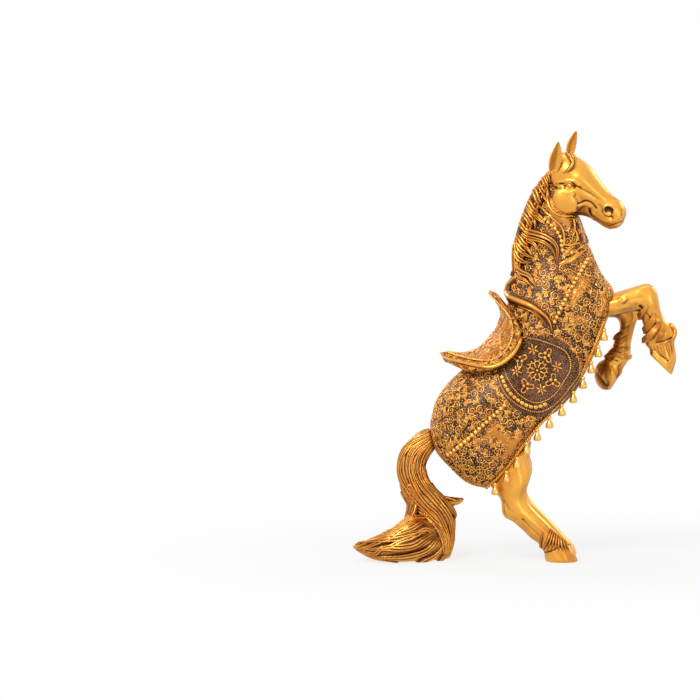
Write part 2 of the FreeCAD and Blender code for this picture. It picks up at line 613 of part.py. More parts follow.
# Hem along the barding's lower edge, and tassels that hang from it
HEM_SIDE, HEM_LEVELS = 7, (2, 21)
hem_path = []
for level in range(*HEM_LEVELS):
    p, centre = torso_net[level][-HEM_SIDE], ring_centre(torso_net[level])
    hem_path.append((p, (p - centre).normalize()))
hem_widths = [size("hem_width")] * len(hem_path)
hem_thicks = [size("hem_thickness")] * len(hem_path)
hem = ribbon(hem_path, hem_widths, hem_thicks)
KNOT_SHARES = [(0, 0.4), (0.5, 1.0), (1.0, 0.35)]
BELL_SHARES = [(0.45, 0.55), (1.0, 1.0)]


def tassel(top):
    """Knot and bell that hang straight down."""
    outline = [(h * size("knot_diameter"), r * size("knot_diameter") / 2) for h, r in KNOT_SHARES]
    outline += [(size("knot_diameter") + h * size("bell_height"), r * size("bell_width") / 2)
                for h, r in BELL_SHARES]
    rings = [[top + V(r * math.cos(2 * math.pi * k / BELL_SIDES),
                      r * math.sin(2 * math.pi * k / BELL_SIDES), -drop)
              for k in range(BELL_SIDES)] for drop, r in outline]
    return faceted(rings)


tassels = []
for point, normal in along(hem_path, size("bell_pitch")):
    flat = V(normal.x, normal.y, 0).normalize()
    clear = size("hem_thickness") + SEAT_PLAY * 2
    knot = size("knot_diameter") / 2
    tassels.append(tassel(point + normal * clear + flat * knot + V(0, 0, knot)))

# Mane: a crest of hair along the back of the neck, and locks that fall down both sides
CREST_SHARES = [0.4, 0.8, 1.0, 1.0, 1.0, 1.0, 0.9, 0.7, 0.45]
crest_path = [(points[0], (points[0] - ring_centre(points)).normalize())
              for points in neck_net[::2]]
crest = ribbon(crest_path, [share * size("crest_width") for share in CREST_SHARES],
               [share * size("crest_height") for share in CREST_SHARES])
LOCK_PATH_SHARES = [
    [(0.452, 1.000), (0.440, 0.900), (0.560, 0.840), (0.632, 0.784), (0.652, 0.740)],
    [(0.470, 1.060), (0.520, 0.997), (0.560, 0.965), (0.568, 0.915)],
    [(0.490, 1.130), (0.540, 1.080), (0.590, 1.050), (0.600, 1.000)],
    [(0.505, 1.230), (0.580, 1.190), (0.648, 1.155), (0.676, 1.110), (0.676, 1.060)],
    [(0.530, 1.330), (0.560, 1.270), (0.600, 1.230), (0.606, 1.190)],
    [(0.560, 1.400), (0.590, 1.340), (0.628, 1.290), (0.640, 1.250)]]
LOCK_TAPER_SHARES = [0.5, 0.9, 1.0, 0.95, 0.8, 0.6, 0.4, 0.22, 0.08]


def taper(share):
    """Width of a lock at a share of its length."""
    place = share * (len(LOCK_TAPER_SHARES) - 1)
    k = min(int(place), len(LOCK_TAPER_SHARES) - 2)
    return LOCK_TAPER_SHARES[k] + (LOCK_TAPER_SHARES[k + 1] - LOCK_TAPER_SHARES[k]) * (place - k)


locks = []
for places in LOCK_PATH_SHARES:
    path = [on_skin(*place) for place in smooth(places)]
    shares = [taper(i / (len(path) - 1)) for i in range(len(path))]
    locks.append(ribbon(path, [share * size("lock_width") for share in shares],
                        [share * size("lock_thickness") for share in shares],
                        size("lock_play")))

# Forelock: falls between the ears over the near side of the brow
FORELOCK_SHARES = [(-0.13, 0.56, 0.05), (-0.02, 0.66, -0.10), (0.08, 0.66, -0.36),
                   (0.10, 0.50, -0.72), (0.07, 0.38, -0.98)]
FORELOCK_TAPER_SHARES = [0.5, 1.0, 0.8, 0.5, 0.12]
forelock_path = [on_head(*place) for place in FORELOCK_SHARES]
forelock = strand(forelock_path, [s * size("forelock_width") for s in FORELOCK_TAPER_SHARES],
                  [s * size("forelock_width") / 2 for s in FORELOCK_TAPER_SHARES],
                  side_axis=head_frame.Rotation.multVec(V(0, 0, 1)))

# Dowels and the blind bores that hold them
bores = {}


def dowel(label, centre, direction, *owners):
    """Six-sided steel pin across a joint, half in each casting, and its bore in both."""
    direction = V(direction).normalize()
    start = centre - direction * (size("dowel_length") / 2)
    pin = doc.addObject("Part::Prism", label)
    pin.Label = label
    pin.Polygon = DOWEL_SIDES
    pin.setExpression("Circumradius", "Sizes.dowel_diameter / 2")
    pin.setExpression("Height", "Sizes.dowel_length")
    pin.Placement = FreeCAD.Placement(start, FreeCAD.Rotation(V(0, 0, 1), direction))
    turn, play = pin.Placement.Rotation, size("dowel_play")
    bore = faceted([[end + turn.multVec(V(
        (size("dowel_diameter") / 2 + play) * math.cos(2 * math.pi * k / DOWEL_SIDES),
        (size("dowel_diameter") / 2 + play) * math.sin(2 * math.pi * k / DOWEL_SIDES), 0))
        for k in range(DOWEL_SIDES)]
        for end in (start - direction * play, start + direction * (size("dowel_length") + play))])
    for owner in owners:
        bores.setdefault(owner, []).append(bore)
    return pin


head_seat = (poll + ring_centre(neck_net[-4])) / 2
neck_axis = ring_centre(neck_net[2]) - ring_centre(torso_net[-3])
parts = [dowel("neck_dowel", ring_centre(neck_base), neck_axis, "torso", "neck"),
         dowel("head_dowel", head_seat, poll - ring_centre(neck_net[-6]), "neck", "head")]
for name in limbs:
    net = limb_nets[name]
    joint = ring_centre(net[2])
    parts.append(dowel(name + "_dowel", joint, joint - ring_centre(net[5]), "torso", name))
parts.append(dowel("tail_dowel", ring_centre(fall_net[2]),
                   ring_centre(fall_net[0]) - ring_centre(fall_net[4]), "torso", "tail_fall"))

# Cut each piece where another carries it, bore it, and keep it as a sub-part
forms = dict(torso=torso, neck=neck_block.cut(head_block), head=head_solid,
             tail_fall=fall.cut(torso), tail_fan=fan.cut(fall), tail_flick=flick.cut(fall),
             saddle=saddle, bib=bib.cut(head_block), mane_crest=crest.cut(head_block),
             forelock=forelock.cut(head_block))
forms.update({name: limb.cut(torso) for name, limb in limbs.items()})
forms = {name: largest(form) for name, form in forms.items()}
for name, cutters in bores.items():
    forms[name] = largest(forms[name].cut(cutters))
forms.update(hooves)
cloth = largest(cloth.cut(hem))
locks = Part.makeCompound(locks).cut([torso, neck_block, crest]).Solids
for name, side in (("right", -1), ("left", 1)):
    forms["ear_" + name] = largest(ear(side).cut(head_block))
    for label, pieces in (("saddle_cloth_", [cloth]), ("shoulder_beads_", shoulder_row),
                          ("haunch_beads_", haunch_row), ("collar_beads_", collar_row),
                          ("saddle_rim_", rim_row), ("hem_", [hem]), ("tassels_", tassels),
                          ("mane_locks_", locks)):
        shape = Part.makeCompound(pieces) if len(pieces) > 1 else pieces[0]
        forms[label + name] = shape if side < 0 else mirrored(shape)
    forms["mane_locks_" + name] = forms["mane_locks_" + name].cut(head_block)
parts += [solid_part(name, shape) for name, shape in forms.items()]
doc.recompute()

# Set the origin under the middle of the figure's box
box = FreeCAD.BoundBox()
for part in parts:
    box.add(part.Shape.BoundBox)
shift = V(-(box.XMin + box.XMax) / 2, -(box.YMin + box.YMax) / 2, -box.ZMin)
for part in parts:
    part.Placement = FreeCAD.Placement(shift, FreeCAD.Rotation()) * part.Placement
doc.recompute()

for part in doc.Objects:
    if "Invalid" in part.State or "Error" in part.State:
        raise RuntimeError("%s failed to build" % part.Label)
for part in parts:
    if part.Shape.isNull() or not part.Shape.isValid():
        raise RuntimeError("%s has no valid shape" % part.Label)
for part in parts:
    part.Shape.exportStep("parts/%s.step" % part.Label)
print("%d sub-parts, %.1f x %.1f x %.1f mm" % (len(parts), box.XLength, box.YLength, box.ZLength))
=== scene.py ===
"""Dress of a rearing horse figurine: antique gold castings, filigree barding, saddle and hair."""
import logging
import math
from dataclasses import dataclass, field, replace
from enum import Enum
from typing import Callable, Iterable, Optional, Sequence

import bpy
import numpy as np
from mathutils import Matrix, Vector
from mathutils.bvhtree import BVHTree


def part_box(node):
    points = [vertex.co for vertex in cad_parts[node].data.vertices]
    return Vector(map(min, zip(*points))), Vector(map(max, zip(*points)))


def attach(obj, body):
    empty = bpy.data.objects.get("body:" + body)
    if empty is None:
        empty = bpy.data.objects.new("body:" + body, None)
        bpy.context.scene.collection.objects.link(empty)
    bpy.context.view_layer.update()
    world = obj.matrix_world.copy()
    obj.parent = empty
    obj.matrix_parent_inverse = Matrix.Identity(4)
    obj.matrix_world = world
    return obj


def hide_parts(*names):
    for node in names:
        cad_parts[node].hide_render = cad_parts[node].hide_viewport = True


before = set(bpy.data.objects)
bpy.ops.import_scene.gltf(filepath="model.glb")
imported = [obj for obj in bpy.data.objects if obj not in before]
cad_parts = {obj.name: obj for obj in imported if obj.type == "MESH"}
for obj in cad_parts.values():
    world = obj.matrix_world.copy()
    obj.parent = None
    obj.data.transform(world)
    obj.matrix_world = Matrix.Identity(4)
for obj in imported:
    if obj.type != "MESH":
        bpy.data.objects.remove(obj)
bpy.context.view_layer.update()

MM = 0.001
ROOT = "root"
LOG = logging.getLogger("horse")
Array = np.ndarray
Colour = tuple[float, float, float]
Pixels = Sequence[tuple[float, float]]
Strokes = tuple[tuple[Pixels, float, float, float], ...]
Socket = bpy.types.NodeSocket


class Slot(Enum):
    """The record's material slots."""

    BARDING = "antique_barding"
    SADDLE = "saddle_gold"
    HAIR = "antique_hair"
    SATIN = "satin_gold"
    TRIM = "bright_trim"
    STEEL = "steel_dowel"


class Side(Enum):
    """The horse's two sides."""

    RIGHT = "right"
    LEFT = "left"


# Small mathematics.


def unit(vectors: Array) -> Array:
    """Scales vectors to length one along the last axis."""
    length = np.linalg.norm(vectors, axis=-1, keepdims=True)
    return vectors / np.maximum(length, 1e-9)


def spline(rows: Array, count: int) -> Array:
    """Resamples a Catmull-Rom line through the rows.

    Args:
        rows: Control rows, each a point or any tuple of numbers.
        count: How many rows to return.

    Returns:
        Rows at even steps of the line's own parameter.
    """
    rows = np.asarray(rows, float)
    place = np.linspace(0, len(rows) - 1, count)
    k = np.minimum(place.astype(int), len(rows) - 2)
    w = (place - k)[:, None]
    a, b = rows[np.maximum(k - 1, 0)], rows[k]
    c, d = rows[k + 1], rows[np.minimum(k + 2, len(rows) - 1)]
    return (2 * b + (c - a) * w + (2 * a - 5 * b + 4 * c - d) * w ** 2
            + (3 * b - a - 3 * c + d) * w ** 3) / 2


def even(path: Array, pitch: float) -> Array:
    """Resamples a path at even distances.

    Args:
        path: Points in millimetres.
        pitch: Wanted distance between the returned points.

    Returns:
        Points from one end of the path to the other.
    """
    steps = np.linalg.norm(np.diff(path, axis=0), axis=1)
    reach = np.concatenate([[0], np.cumsum(steps)])
    count = max(2, int(round(reach[-1] / pitch)) + 1)
    places = np.linspace(0, reach[-1], count)
    return np.stack([np.interp(places, reach, path[:, i]) for i in range(path.shape[1])], axis=1)


def taper(count: int, root: float, belly: float, tip: float, peak: float = 0.4) -> Array:
    """Width of a lock of hair along its length.

    Args:
        count: How many even places along the lock are wanted.
        root: Width at its root.
        belly: Width where it is widest.
        tip: Width at its tip.
        peak: Where it is widest.

    Returns:
        The width at each place.
    """
    share = np.linspace(0, 1, count)
    rise = root + (belly - root) * np.sin(np.clip(share / peak, 0, 1) * math.pi / 2)
    fall = tip + (belly - tip) * np.cos(np.clip((share - peak) / (1 - peak), 0, 1) * math.pi / 2)
    return np.where(share < peak, rise, fall)


# The photograph's view.


def box_mm(node: str) -> tuple[Array, Array]:
    """Lowest and highest corner of a CAD node, in millimetres."""
    low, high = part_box(node)
    return np.array(low) / MM, np.array(high) / MM


MEDIAN_Y = float(sum(corner[1] for corner in box_mm("torso")) / 2)


def both_sides(path: Array) -> tuple[Array, Array]:
    """A path on the right side, and the same path mirrored to the left."""
    return path, path * [1, -1, 1] + [0, 2 * MEDIAN_Y, 0]


def around(x: float, y: float, reach: float, turn: float) -> tuple[float, float]:
    """Pixel at a distance and an angle from another."""
    return x + reach * math.cos(turn), y + reach * math.sin(turn)


def gap(others: Sequence[Array], point: Array) -> float:
    """Distance from a point to the nearest of some others, endless where there are none."""
    return np.linalg.norm(np.asarray(others) - point, axis=1).min() if len(others) else math.inf


@dataclass(frozen=True)
class Sight:
    """The photograph's view, which turns a pixel into a line through the frame."""

    size_px: float = 700.0
    aim: tuple[float, float] = (-137.3, 175.4)
    distance: float = 5000.0
    tilt: float = math.radians(5.0)
    lens: float = 306.4
    sensor: float = 36.0

    def axes(self) -> tuple[Array, Array, Array]:
        """The view's right, forward and up directions."""
        c, s = math.cos(self.tilt), math.sin(self.tilt)
        return np.array([1.0, 0, 0]), np.array([0, c, -s]), np.array([0, s, c])

    def eye(self) -> Array:
        """Where the camera stands, in millimetres."""
        target = np.array([self.aim[0], MEDIAN_Y, self.aim[1]])
        return target - self.axes()[1] * self.distance

    def ray(self, px: float, py: float) -> Array:
        """Direction of the line of sight through a pixel."""
        right, forward, up = self.axes()
        scale = self.sensor / self.lens / self.size_px
        half = self.size_px / 2
        return unit(forward + right * (px - half) * scale + up * (half - py) * scale)


SIGHT = Sight()


class Skin:
    """A surface on which ornaments are laid."""

    def __init__(self, points: Array, faces: Iterable[Sequence[int]]) -> None:
        """Builds the search tree.

        Args:
            points: Surface points in millimetres.
            faces: Their faces.
        """
        self.tree = BVHTree.FromPolygons(points.tolist(), [list(face) for face in faces])

    def seen(self, px: float, py: float, behind: bool = False) -> tuple[Array, Array]:
        """Finds the surface at a pixel.

        Args:
            px: Column of the photograph.
            py: Row of the photograph.
            behind: Whether the far side is wanted.

        Returns:
            Point and outward normal, nearest to the line of sight where it misses.
        """
        eye, ray = SIGHT.eye(), SIGHT.ray(px, py)
        start, way = (eye + ray * 2 * SIGHT.distance, -ray) if behind else (eye, ray)
        place, normal, _, _ = self.tree.ray_cast(Vector(start), Vector(way))
        if place is None:
            return self.near(eye + ray * ((MEDIAN_Y - eye[1]) / ray[1]))
        return np.array(place), np.array(normal)

    def near(self, point: Array) -> tuple[Array, Array]:
        """Nearest point of the surface and its outward normal."""
        place, normal, _, _ = self.tree.find_nearest(Vector(point))
        return np.array(place), np.array(normal)

    def line(self, pixels: Pixels, pitch: float, lift: float = 0.0,
             behind: bool = False) -> tuple[Array, Array]:
        """Lays a line of pixels on the surface.

        Args:
            pixels: Control points in the photograph.
            pitch: Distance between the returned points, in millimetres.
            lift: How far above the surface they lie.
            behind: Whether the far side is wanted.

        Returns:
            Points and normals.
        """
        coarse = spline(np.array(pixels, float), 6 * len(pixels))
        hits = np.array([self.seen(*pixel, behind)[0] for pixel in coarse])
        return self.laid(even(hits, pitch), lift)

    def laid(self, path: Array, lift: float = 0.0) -> tuple[Array, Array]:
        """Moves points onto the surface, and returns them with their normals."""
        found = [self.near(point) for point in path]
        normals = unit(np.array([normal for _, normal in found]))
        return np.array([place for place, _ in found]) + normals * lift, normals


# Finishes.


def linear(red: int, green: int, blue: int) -> Colour:
    """Scene-linear colour of a screen colour of 0 to 255."""
    shares = (red / 255, green / 255, blue / 255)
    return tuple(s / 12.92 if s <= 0.04045 else ((s + 0.055) / 1.055) ** 2.4 for s in shares)


def node_group(name: str, inputs: dict[str, object], outputs: dict[str, str]) -> bpy.types.NodeTree:
    """Empty shader group with named sockets.

    Args:
        name: The group's name.
        inputs: Socket names with their defaults, a number or a colour.
        outputs: Socket names with their socket types.

    Returns:
        The group, with its input and output nodes in it.
    """
    group = bpy.data.node_groups.new(name, "ShaderNodeTree")
    for label, value in inputs.items():
        kind = "NodeSocketColor" if isinstance(value, tuple) else "NodeSocketFloat"
        socket = group.interface.new_socket(name=label, in_out="INPUT", socket_type=kind)
        socket.default_value = (*value, 1.0) if isinstance(value, tuple) else value
    for label, kind in outputs.items():
        group.interface.new_socket(name=label, in_out="OUTPUT", socket_type=kind)
    group.nodes.new("NodeGroupInput")
    group.nodes.new("NodeGroupOutput")
    return group


class Wiring:
    """Short hand for placing and joining shader nodes in one tree."""

    def __init__(self, tree: bpy.types.NodeTree) -> None:
        """Keeps the tree."""
        self.tree = tree

    def add(self, kind: str, settings: Optional[dict[str, object]] = None,
            **inputs: object) -> bpy.types.Node:
        """Places a node.

        Args:
            kind: Its type.
            settings: Its properties.
            **inputs: Values or sockets for its inputs, with underscores for spaces.

        Returns:
            The node.
        """
        node = self.tree.nodes.new(kind)
        for key, value in (settings or {}).items():
            setattr(node, key, value)
        for key, value in inputs.items():
            self.feed(node.inputs[key.replace("_", " ")], value)
        return node

    def feed(self, socket: Socket, value: object) -> None:
        """Joins a socket to another, or sets its value."""
        if isinstance(value, Socket):
            self.tree.links.new(value, socket)
        elif isinstance(value, tuple):
            socket.default_value = (*value, 1.0)
        else:
            socket.default_value = value

    def math(self, operation: str, first: object, second: object = 0.0) -> Socket:
        """Result of a sum on numbers."""
        node = self.tree.nodes.new("ShaderNodeMath")
        node.operation = operation
        self.feed(node.inputs[0], first)
        self.feed(node.inputs[1], second)
        return node.outputs[0]

    def mix(self, share: object, first: object, second: object) -> Socket:
        """Result of a mix of two colours."""
        node = self.tree.nodes.new("ShaderNodeMix")
        node.data_type = "RGBA"
        self.feed(node.inputs[0], share)
        self.feed(node.inputs[6], first)
        self.feed(node.inputs[7], second)
        return node.outputs[2]

    def ramp(self, value: object, low: float, high: float) -> Socket:
        """A smooth step from 0 to 1 between two values."""
        return self.add("ShaderNodeMapRange", {"interpolation_type": "SMOOTHSTEP"}, Value=value,
                        From_Min=low, From_Max=high).outputs[0]

    def straight(self) -> Socket:
        """Mask of the rays that show a thing itself: straight on, mirrored or through glass."""
        path = self.add("ShaderNodeLightPath")
        shown = self.math("MAXIMUM", path.outputs["Is Camera Ray"], path.outputs["Is Glossy Ray"])
        return self.math("MAXIMUM", shown, path.outputs["Is Transmission Ray"])


def antique_wash_and_shade() -> bpy.types.NodeTree:
    """Group that shows gold on what stands proud, a dark wash in what lies deep, and the painted
    shade that the tone carries.

    Returns:
        The group, which gives a colour and a mask.
    """
    group = node_group("antique_wash_and_shade", {
        "Tone": 0.5, "Gold": (0.6, 0.3, 0.05), "Warm": (0.5, 0.2, 0.03),
        "Deep": (0.04, 0.01, 0.005), "Haze": (0.2, 0.1, 0.1), "Low": 0.2, "High": 0.7,
        "Patches": 0.3, "Haze Share": 0.2, "Scale": 60.0, "Speck": 0.35},
        {"Color": "NodeSocketColor", "Mask": "NodeSocketFloat"})
    wires = Wiring(group)
    enter, leave = group.nodes[0].outputs, group.nodes[1]
    spot = wires.add("ShaderNodeTexCoord").outputs["Object"]
    cloud = wires.add("ShaderNodeTexNoise", Vector=spot, Scale=enter["Scale"], Detail=3.0)
    speck_scale = wires.math("MULTIPLY", enter["Scale"], 9.0)
    speck = wires.add("ShaderNodeTexNoise", Vector=spot, Scale=speck_scale, Detail=2.0)
    worn = wires.math("ADD", enter["Tone"], wires.math(
        "MULTIPLY", wires.math("SUBTRACT", speck.outputs["Fac"], 0.5), enter["Speck"]))
    span = wires.math("SUBTRACT", enter["High"], enter["Low"])
    mask = wires.math("DIVIDE", wires.math("SUBTRACT", worn, enter["Low"]), span)
    mask = wires.ramp(mask, 0.0, 1.0)
    warm = wires.math("MULTIPLY", wires.ramp(cloud.outputs["Fac"], 0.45, 0.62), enter["Patches"])
    hazy = wires.math("MULTIPLY", wires.ramp(cloud.outputs["Fac"], 0.52, 0.40), enter["Haze Share"])
    metal = wires.mix(warm, enter["Gold"], enter["Warm"])
    ground = wires.mix(hazy, enter["Deep"], enter["Haze"])
    wires.feed(leave.inputs["Color"], wires.mix(mask, ground, metal))
    wires.feed(leave.inputs["Mask"], mask)
    return group


def cast_grain() -> bpy.types.NodeTree:
    """Group that gives the height of a casting's fine grain and soft unevenness.

    Returns:
        The group, which gives a height.
    """
    group = node_group("cast_grain", {"Scale": 400.0, "Fine": 0.3, "Soft": 0.5},
                       {"Height": "NodeSocketFloat"})
    wires = Wiring(group)
    enter, leave = group.nodes[0].outputs, group.nodes[1]
    spot = wires.add("ShaderNodeTexCoord").outputs["Object"]
    fine = wires.add("ShaderNodeTexNoise", Vector=spot, Scale=enter["Scale"], Detail=4.0)
    coarse_scale = wires.math("DIVIDE", enter["Scale"], 9.0)
    soft = wires.add("ShaderNodeTexNoise", Vector=spot, Scale=coarse_scale, Detail=1.0)
    total = wires.math("ADD", wires.math("MULTIPLY", fine.outputs["Fac"], enter["Fine"]),
                       wires.math("MULTIPLY", soft.outputs["Fac"], enter["Soft"]))
    wires.feed(leave.inputs["Height"], total)
    return group


GROUPS: dict[str, bpy.types.NodeTree] = {}


@dataclass(frozen=True)
class Finish:
    """Painted finish of one kind of surface, from bare gold to dark wash and painted shade."""

    name: str
    slot: Slot
    gold: Colour
    warm: Colour = linear(214, 118, 26)
    deep: Colour = linear(52, 26, 14)
    haze: Colour = linear(122, 84, 74)
    low: float = 0.2
    high: float = 0.7
    patches: float = 0.3
    haze_share: float = 0.2
    scale: float = 60.0
    speck: float = 0.35
    rough_gold: float = 0.3
    rough_deep: float = 0.55
    metallic: float = 0.85
    coat: float = 0.2
    coat_rough: float = 0.25
    bump: float = 0.15
    grain: float = 500.0
    soft: float = 0.5

    def material(self) -> bpy.types.Material:
        """Builds the material, once for each finish.

        Returns:
            The material.
        """
        if self.name in bpy.data.materials:
            return bpy.data.materials[self.name]
        material = bpy.data.materials.new(self.name)
        material.use_nodes = True
        tree = material.node_tree
        shader = tree.nodes["Principled BSDF"]
        wires = Wiring(tree)
        tone = wires.add("ShaderNodeAttribute", {"attribute_name": "tone"})
        # The tone picks between gold, antique wash and painted shade.
        wash = wires.add("ShaderNodeGroup", {"node_tree": GROUPS["wash"]},
                         Tone=tone.outputs["Fac"], Gold=self.gold, Warm=self.warm, Deep=self.deep,
                         Haze=self.haze, Low=self.low, High=self.high, Patches=self.patches,
                         Haze_Share=self.haze_share, Scale=self.scale, Speck=self.speck)
        grain = wires.add("ShaderNodeGroup", {"node_tree": GROUPS["grain"]}, Scale=self.grain,
                          Fine=0.5, Soft=self.soft)
        bump = wires.add("ShaderNodeBump", Strength=self.bump, Distance=MM,
                         Height=grain.outputs["Height"])
        rough = wires.add("ShaderNodeMapRange", Value=wash.outputs["Mask"], To_Min=self.rough_deep,
                          To_Max=self.rough_gold)
        wires.feed(shader.inputs["Base Color"], wash.outputs["Color"])
        wires.feed(shader.inputs["Roughness"], rough.outputs[0])
        wires.feed(shader.inputs["Normal"], bump.outputs[0])
        shader.inputs["Metallic"].default_value = self.metallic
        shader.inputs["Coat Weight"].default_value = self.coat
        shader.inputs["Coat Roughness"].default_value = self.coat_rough
        return material


BARDING = Finish("barding_ground", Slot.BARDING, gold=linear(206, 132, 44),
                 deep=linear(44, 22, 10), haze=linear(116, 78, 66), low=0.22, high=0.95,
                 patches=0.4, haze_share=0.5, scale=70.0, speck=1.1, bump=0.6, metallic=0.6,
                 rough_gold=0.34)
FILIGREE = Finish("filigree_gold", Slot.BARDING, gold=linear(236, 172, 78), low=0.2, high=0.95,
                  patches=0.4, haze_share=0.3, scale=90.0, rough_gold=0.28)
BEADS = Finish("bead_gold", Slot.TRIM, gold=linear(246, 192, 98), low=0.0, high=0.6,
               patches=0.2, rough_gold=0.24)
PIPING = Finish("piping_gold", Slot.TRIM, gold=linear(236, 168, 66), low=0.0, high=0.65,
                patches=0.4, rough_gold=0.26)
SATIN = Finish("cast_satin", Slot.SATIN, gold=linear(236, 168, 66), warm=linear(190, 104, 20),
               deep=linear(72, 32, 8), low=0.0, high=0.85, patches=0.5, scale=28.0,
               rough_gold=0.4, bump=0.12, grain=260.0, metallic=0.88)
HAIR = Finish("hair_gold", Slot.HAIR, gold=linear(232, 158, 60), warm=linear(204, 108, 26),
              deep=linear(64, 28, 10), low=0.1, high=0.8, haze_share=0.1, patches=0.5,
              scale=55.0, rough_gold=0.28)
SEAT = Finish("cast_saddle", Slot.SADDLE, gold=linear(196, 118, 30), warm=linear(190, 98, 14),
              low=0.05, high=0.75, patches=0.8, scale=45.0, speck=0.8, haze_share=0.4)
STEEL = Finish("steel_pin", Slot.STEEL, gold=linear(170, 172, 176), warm=linear(150, 150, 154),
               deep=linear(120, 122, 126), haze=linear(130, 130, 134), low=-1.0, high=0.0,
               metallic=1.0, rough_gold=0.3)


# Meshes.


def placed(name: str, data: bpy.types.ID) -> bpy.types.Object:
    """A new object in the scene that shows a mesh, a lamp or a camera."""
    made = bpy.data.objects.new(name, data)
    bpy.context.scene.collection.objects.link(made)
    return made


def new_object(name: str, points: Array, quads: Array, tris: Array, tones: Array,
               finish: Finish) -> bpy.types.Object:
    """Makes a smooth mesh piece that rides on the body.

    Args:
        name: Name of the piece.
        points: Its points in millimetres.
        quads: Its four-sided faces.
        tris: Its triangles.
        tones: How much gold shows at each point.
        finish: Its finish.

    Returns:
        The new object.
    """
    mesh = bpy.data.meshes.new(name)
    mesh.vertices.add(len(points))
    mesh.vertices.foreach_set("co", (points * MM).astype(np.float32).ravel())
    loops = np.concatenate([quads.ravel(), tris.ravel()]).astype(np.int32)
    starts = np.concatenate([np.arange(len(quads)) * 4,
                             len(quads) * 4 + np.arange(len(tris)) * 3]).astype(np.int32)
    mesh.loops.add(len(loops))
    mesh.loops.foreach_set("vertex_index", loops)
    mesh.polygons.add(len(starts))
    mesh.polygons.foreach_set("loop_start", starts)
    mesh.polygons.foreach_set("use_smooth", np.ones(len(starts), bool))
    mesh.update(calc_edges=True)
    mesh.validate()
    tone = mesh.attributes.new("tone", "FLOAT", "POINT")
    tone.data.foreach_set("value", np.clip(tones, 0, 1).astype(np.float32))
    mesh.materials.append(finish.material())
    piece = placed(name, mesh)
    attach(piece, ROOT)
    LOG.info("%s: %d faces", name, len(starts))
    return piece


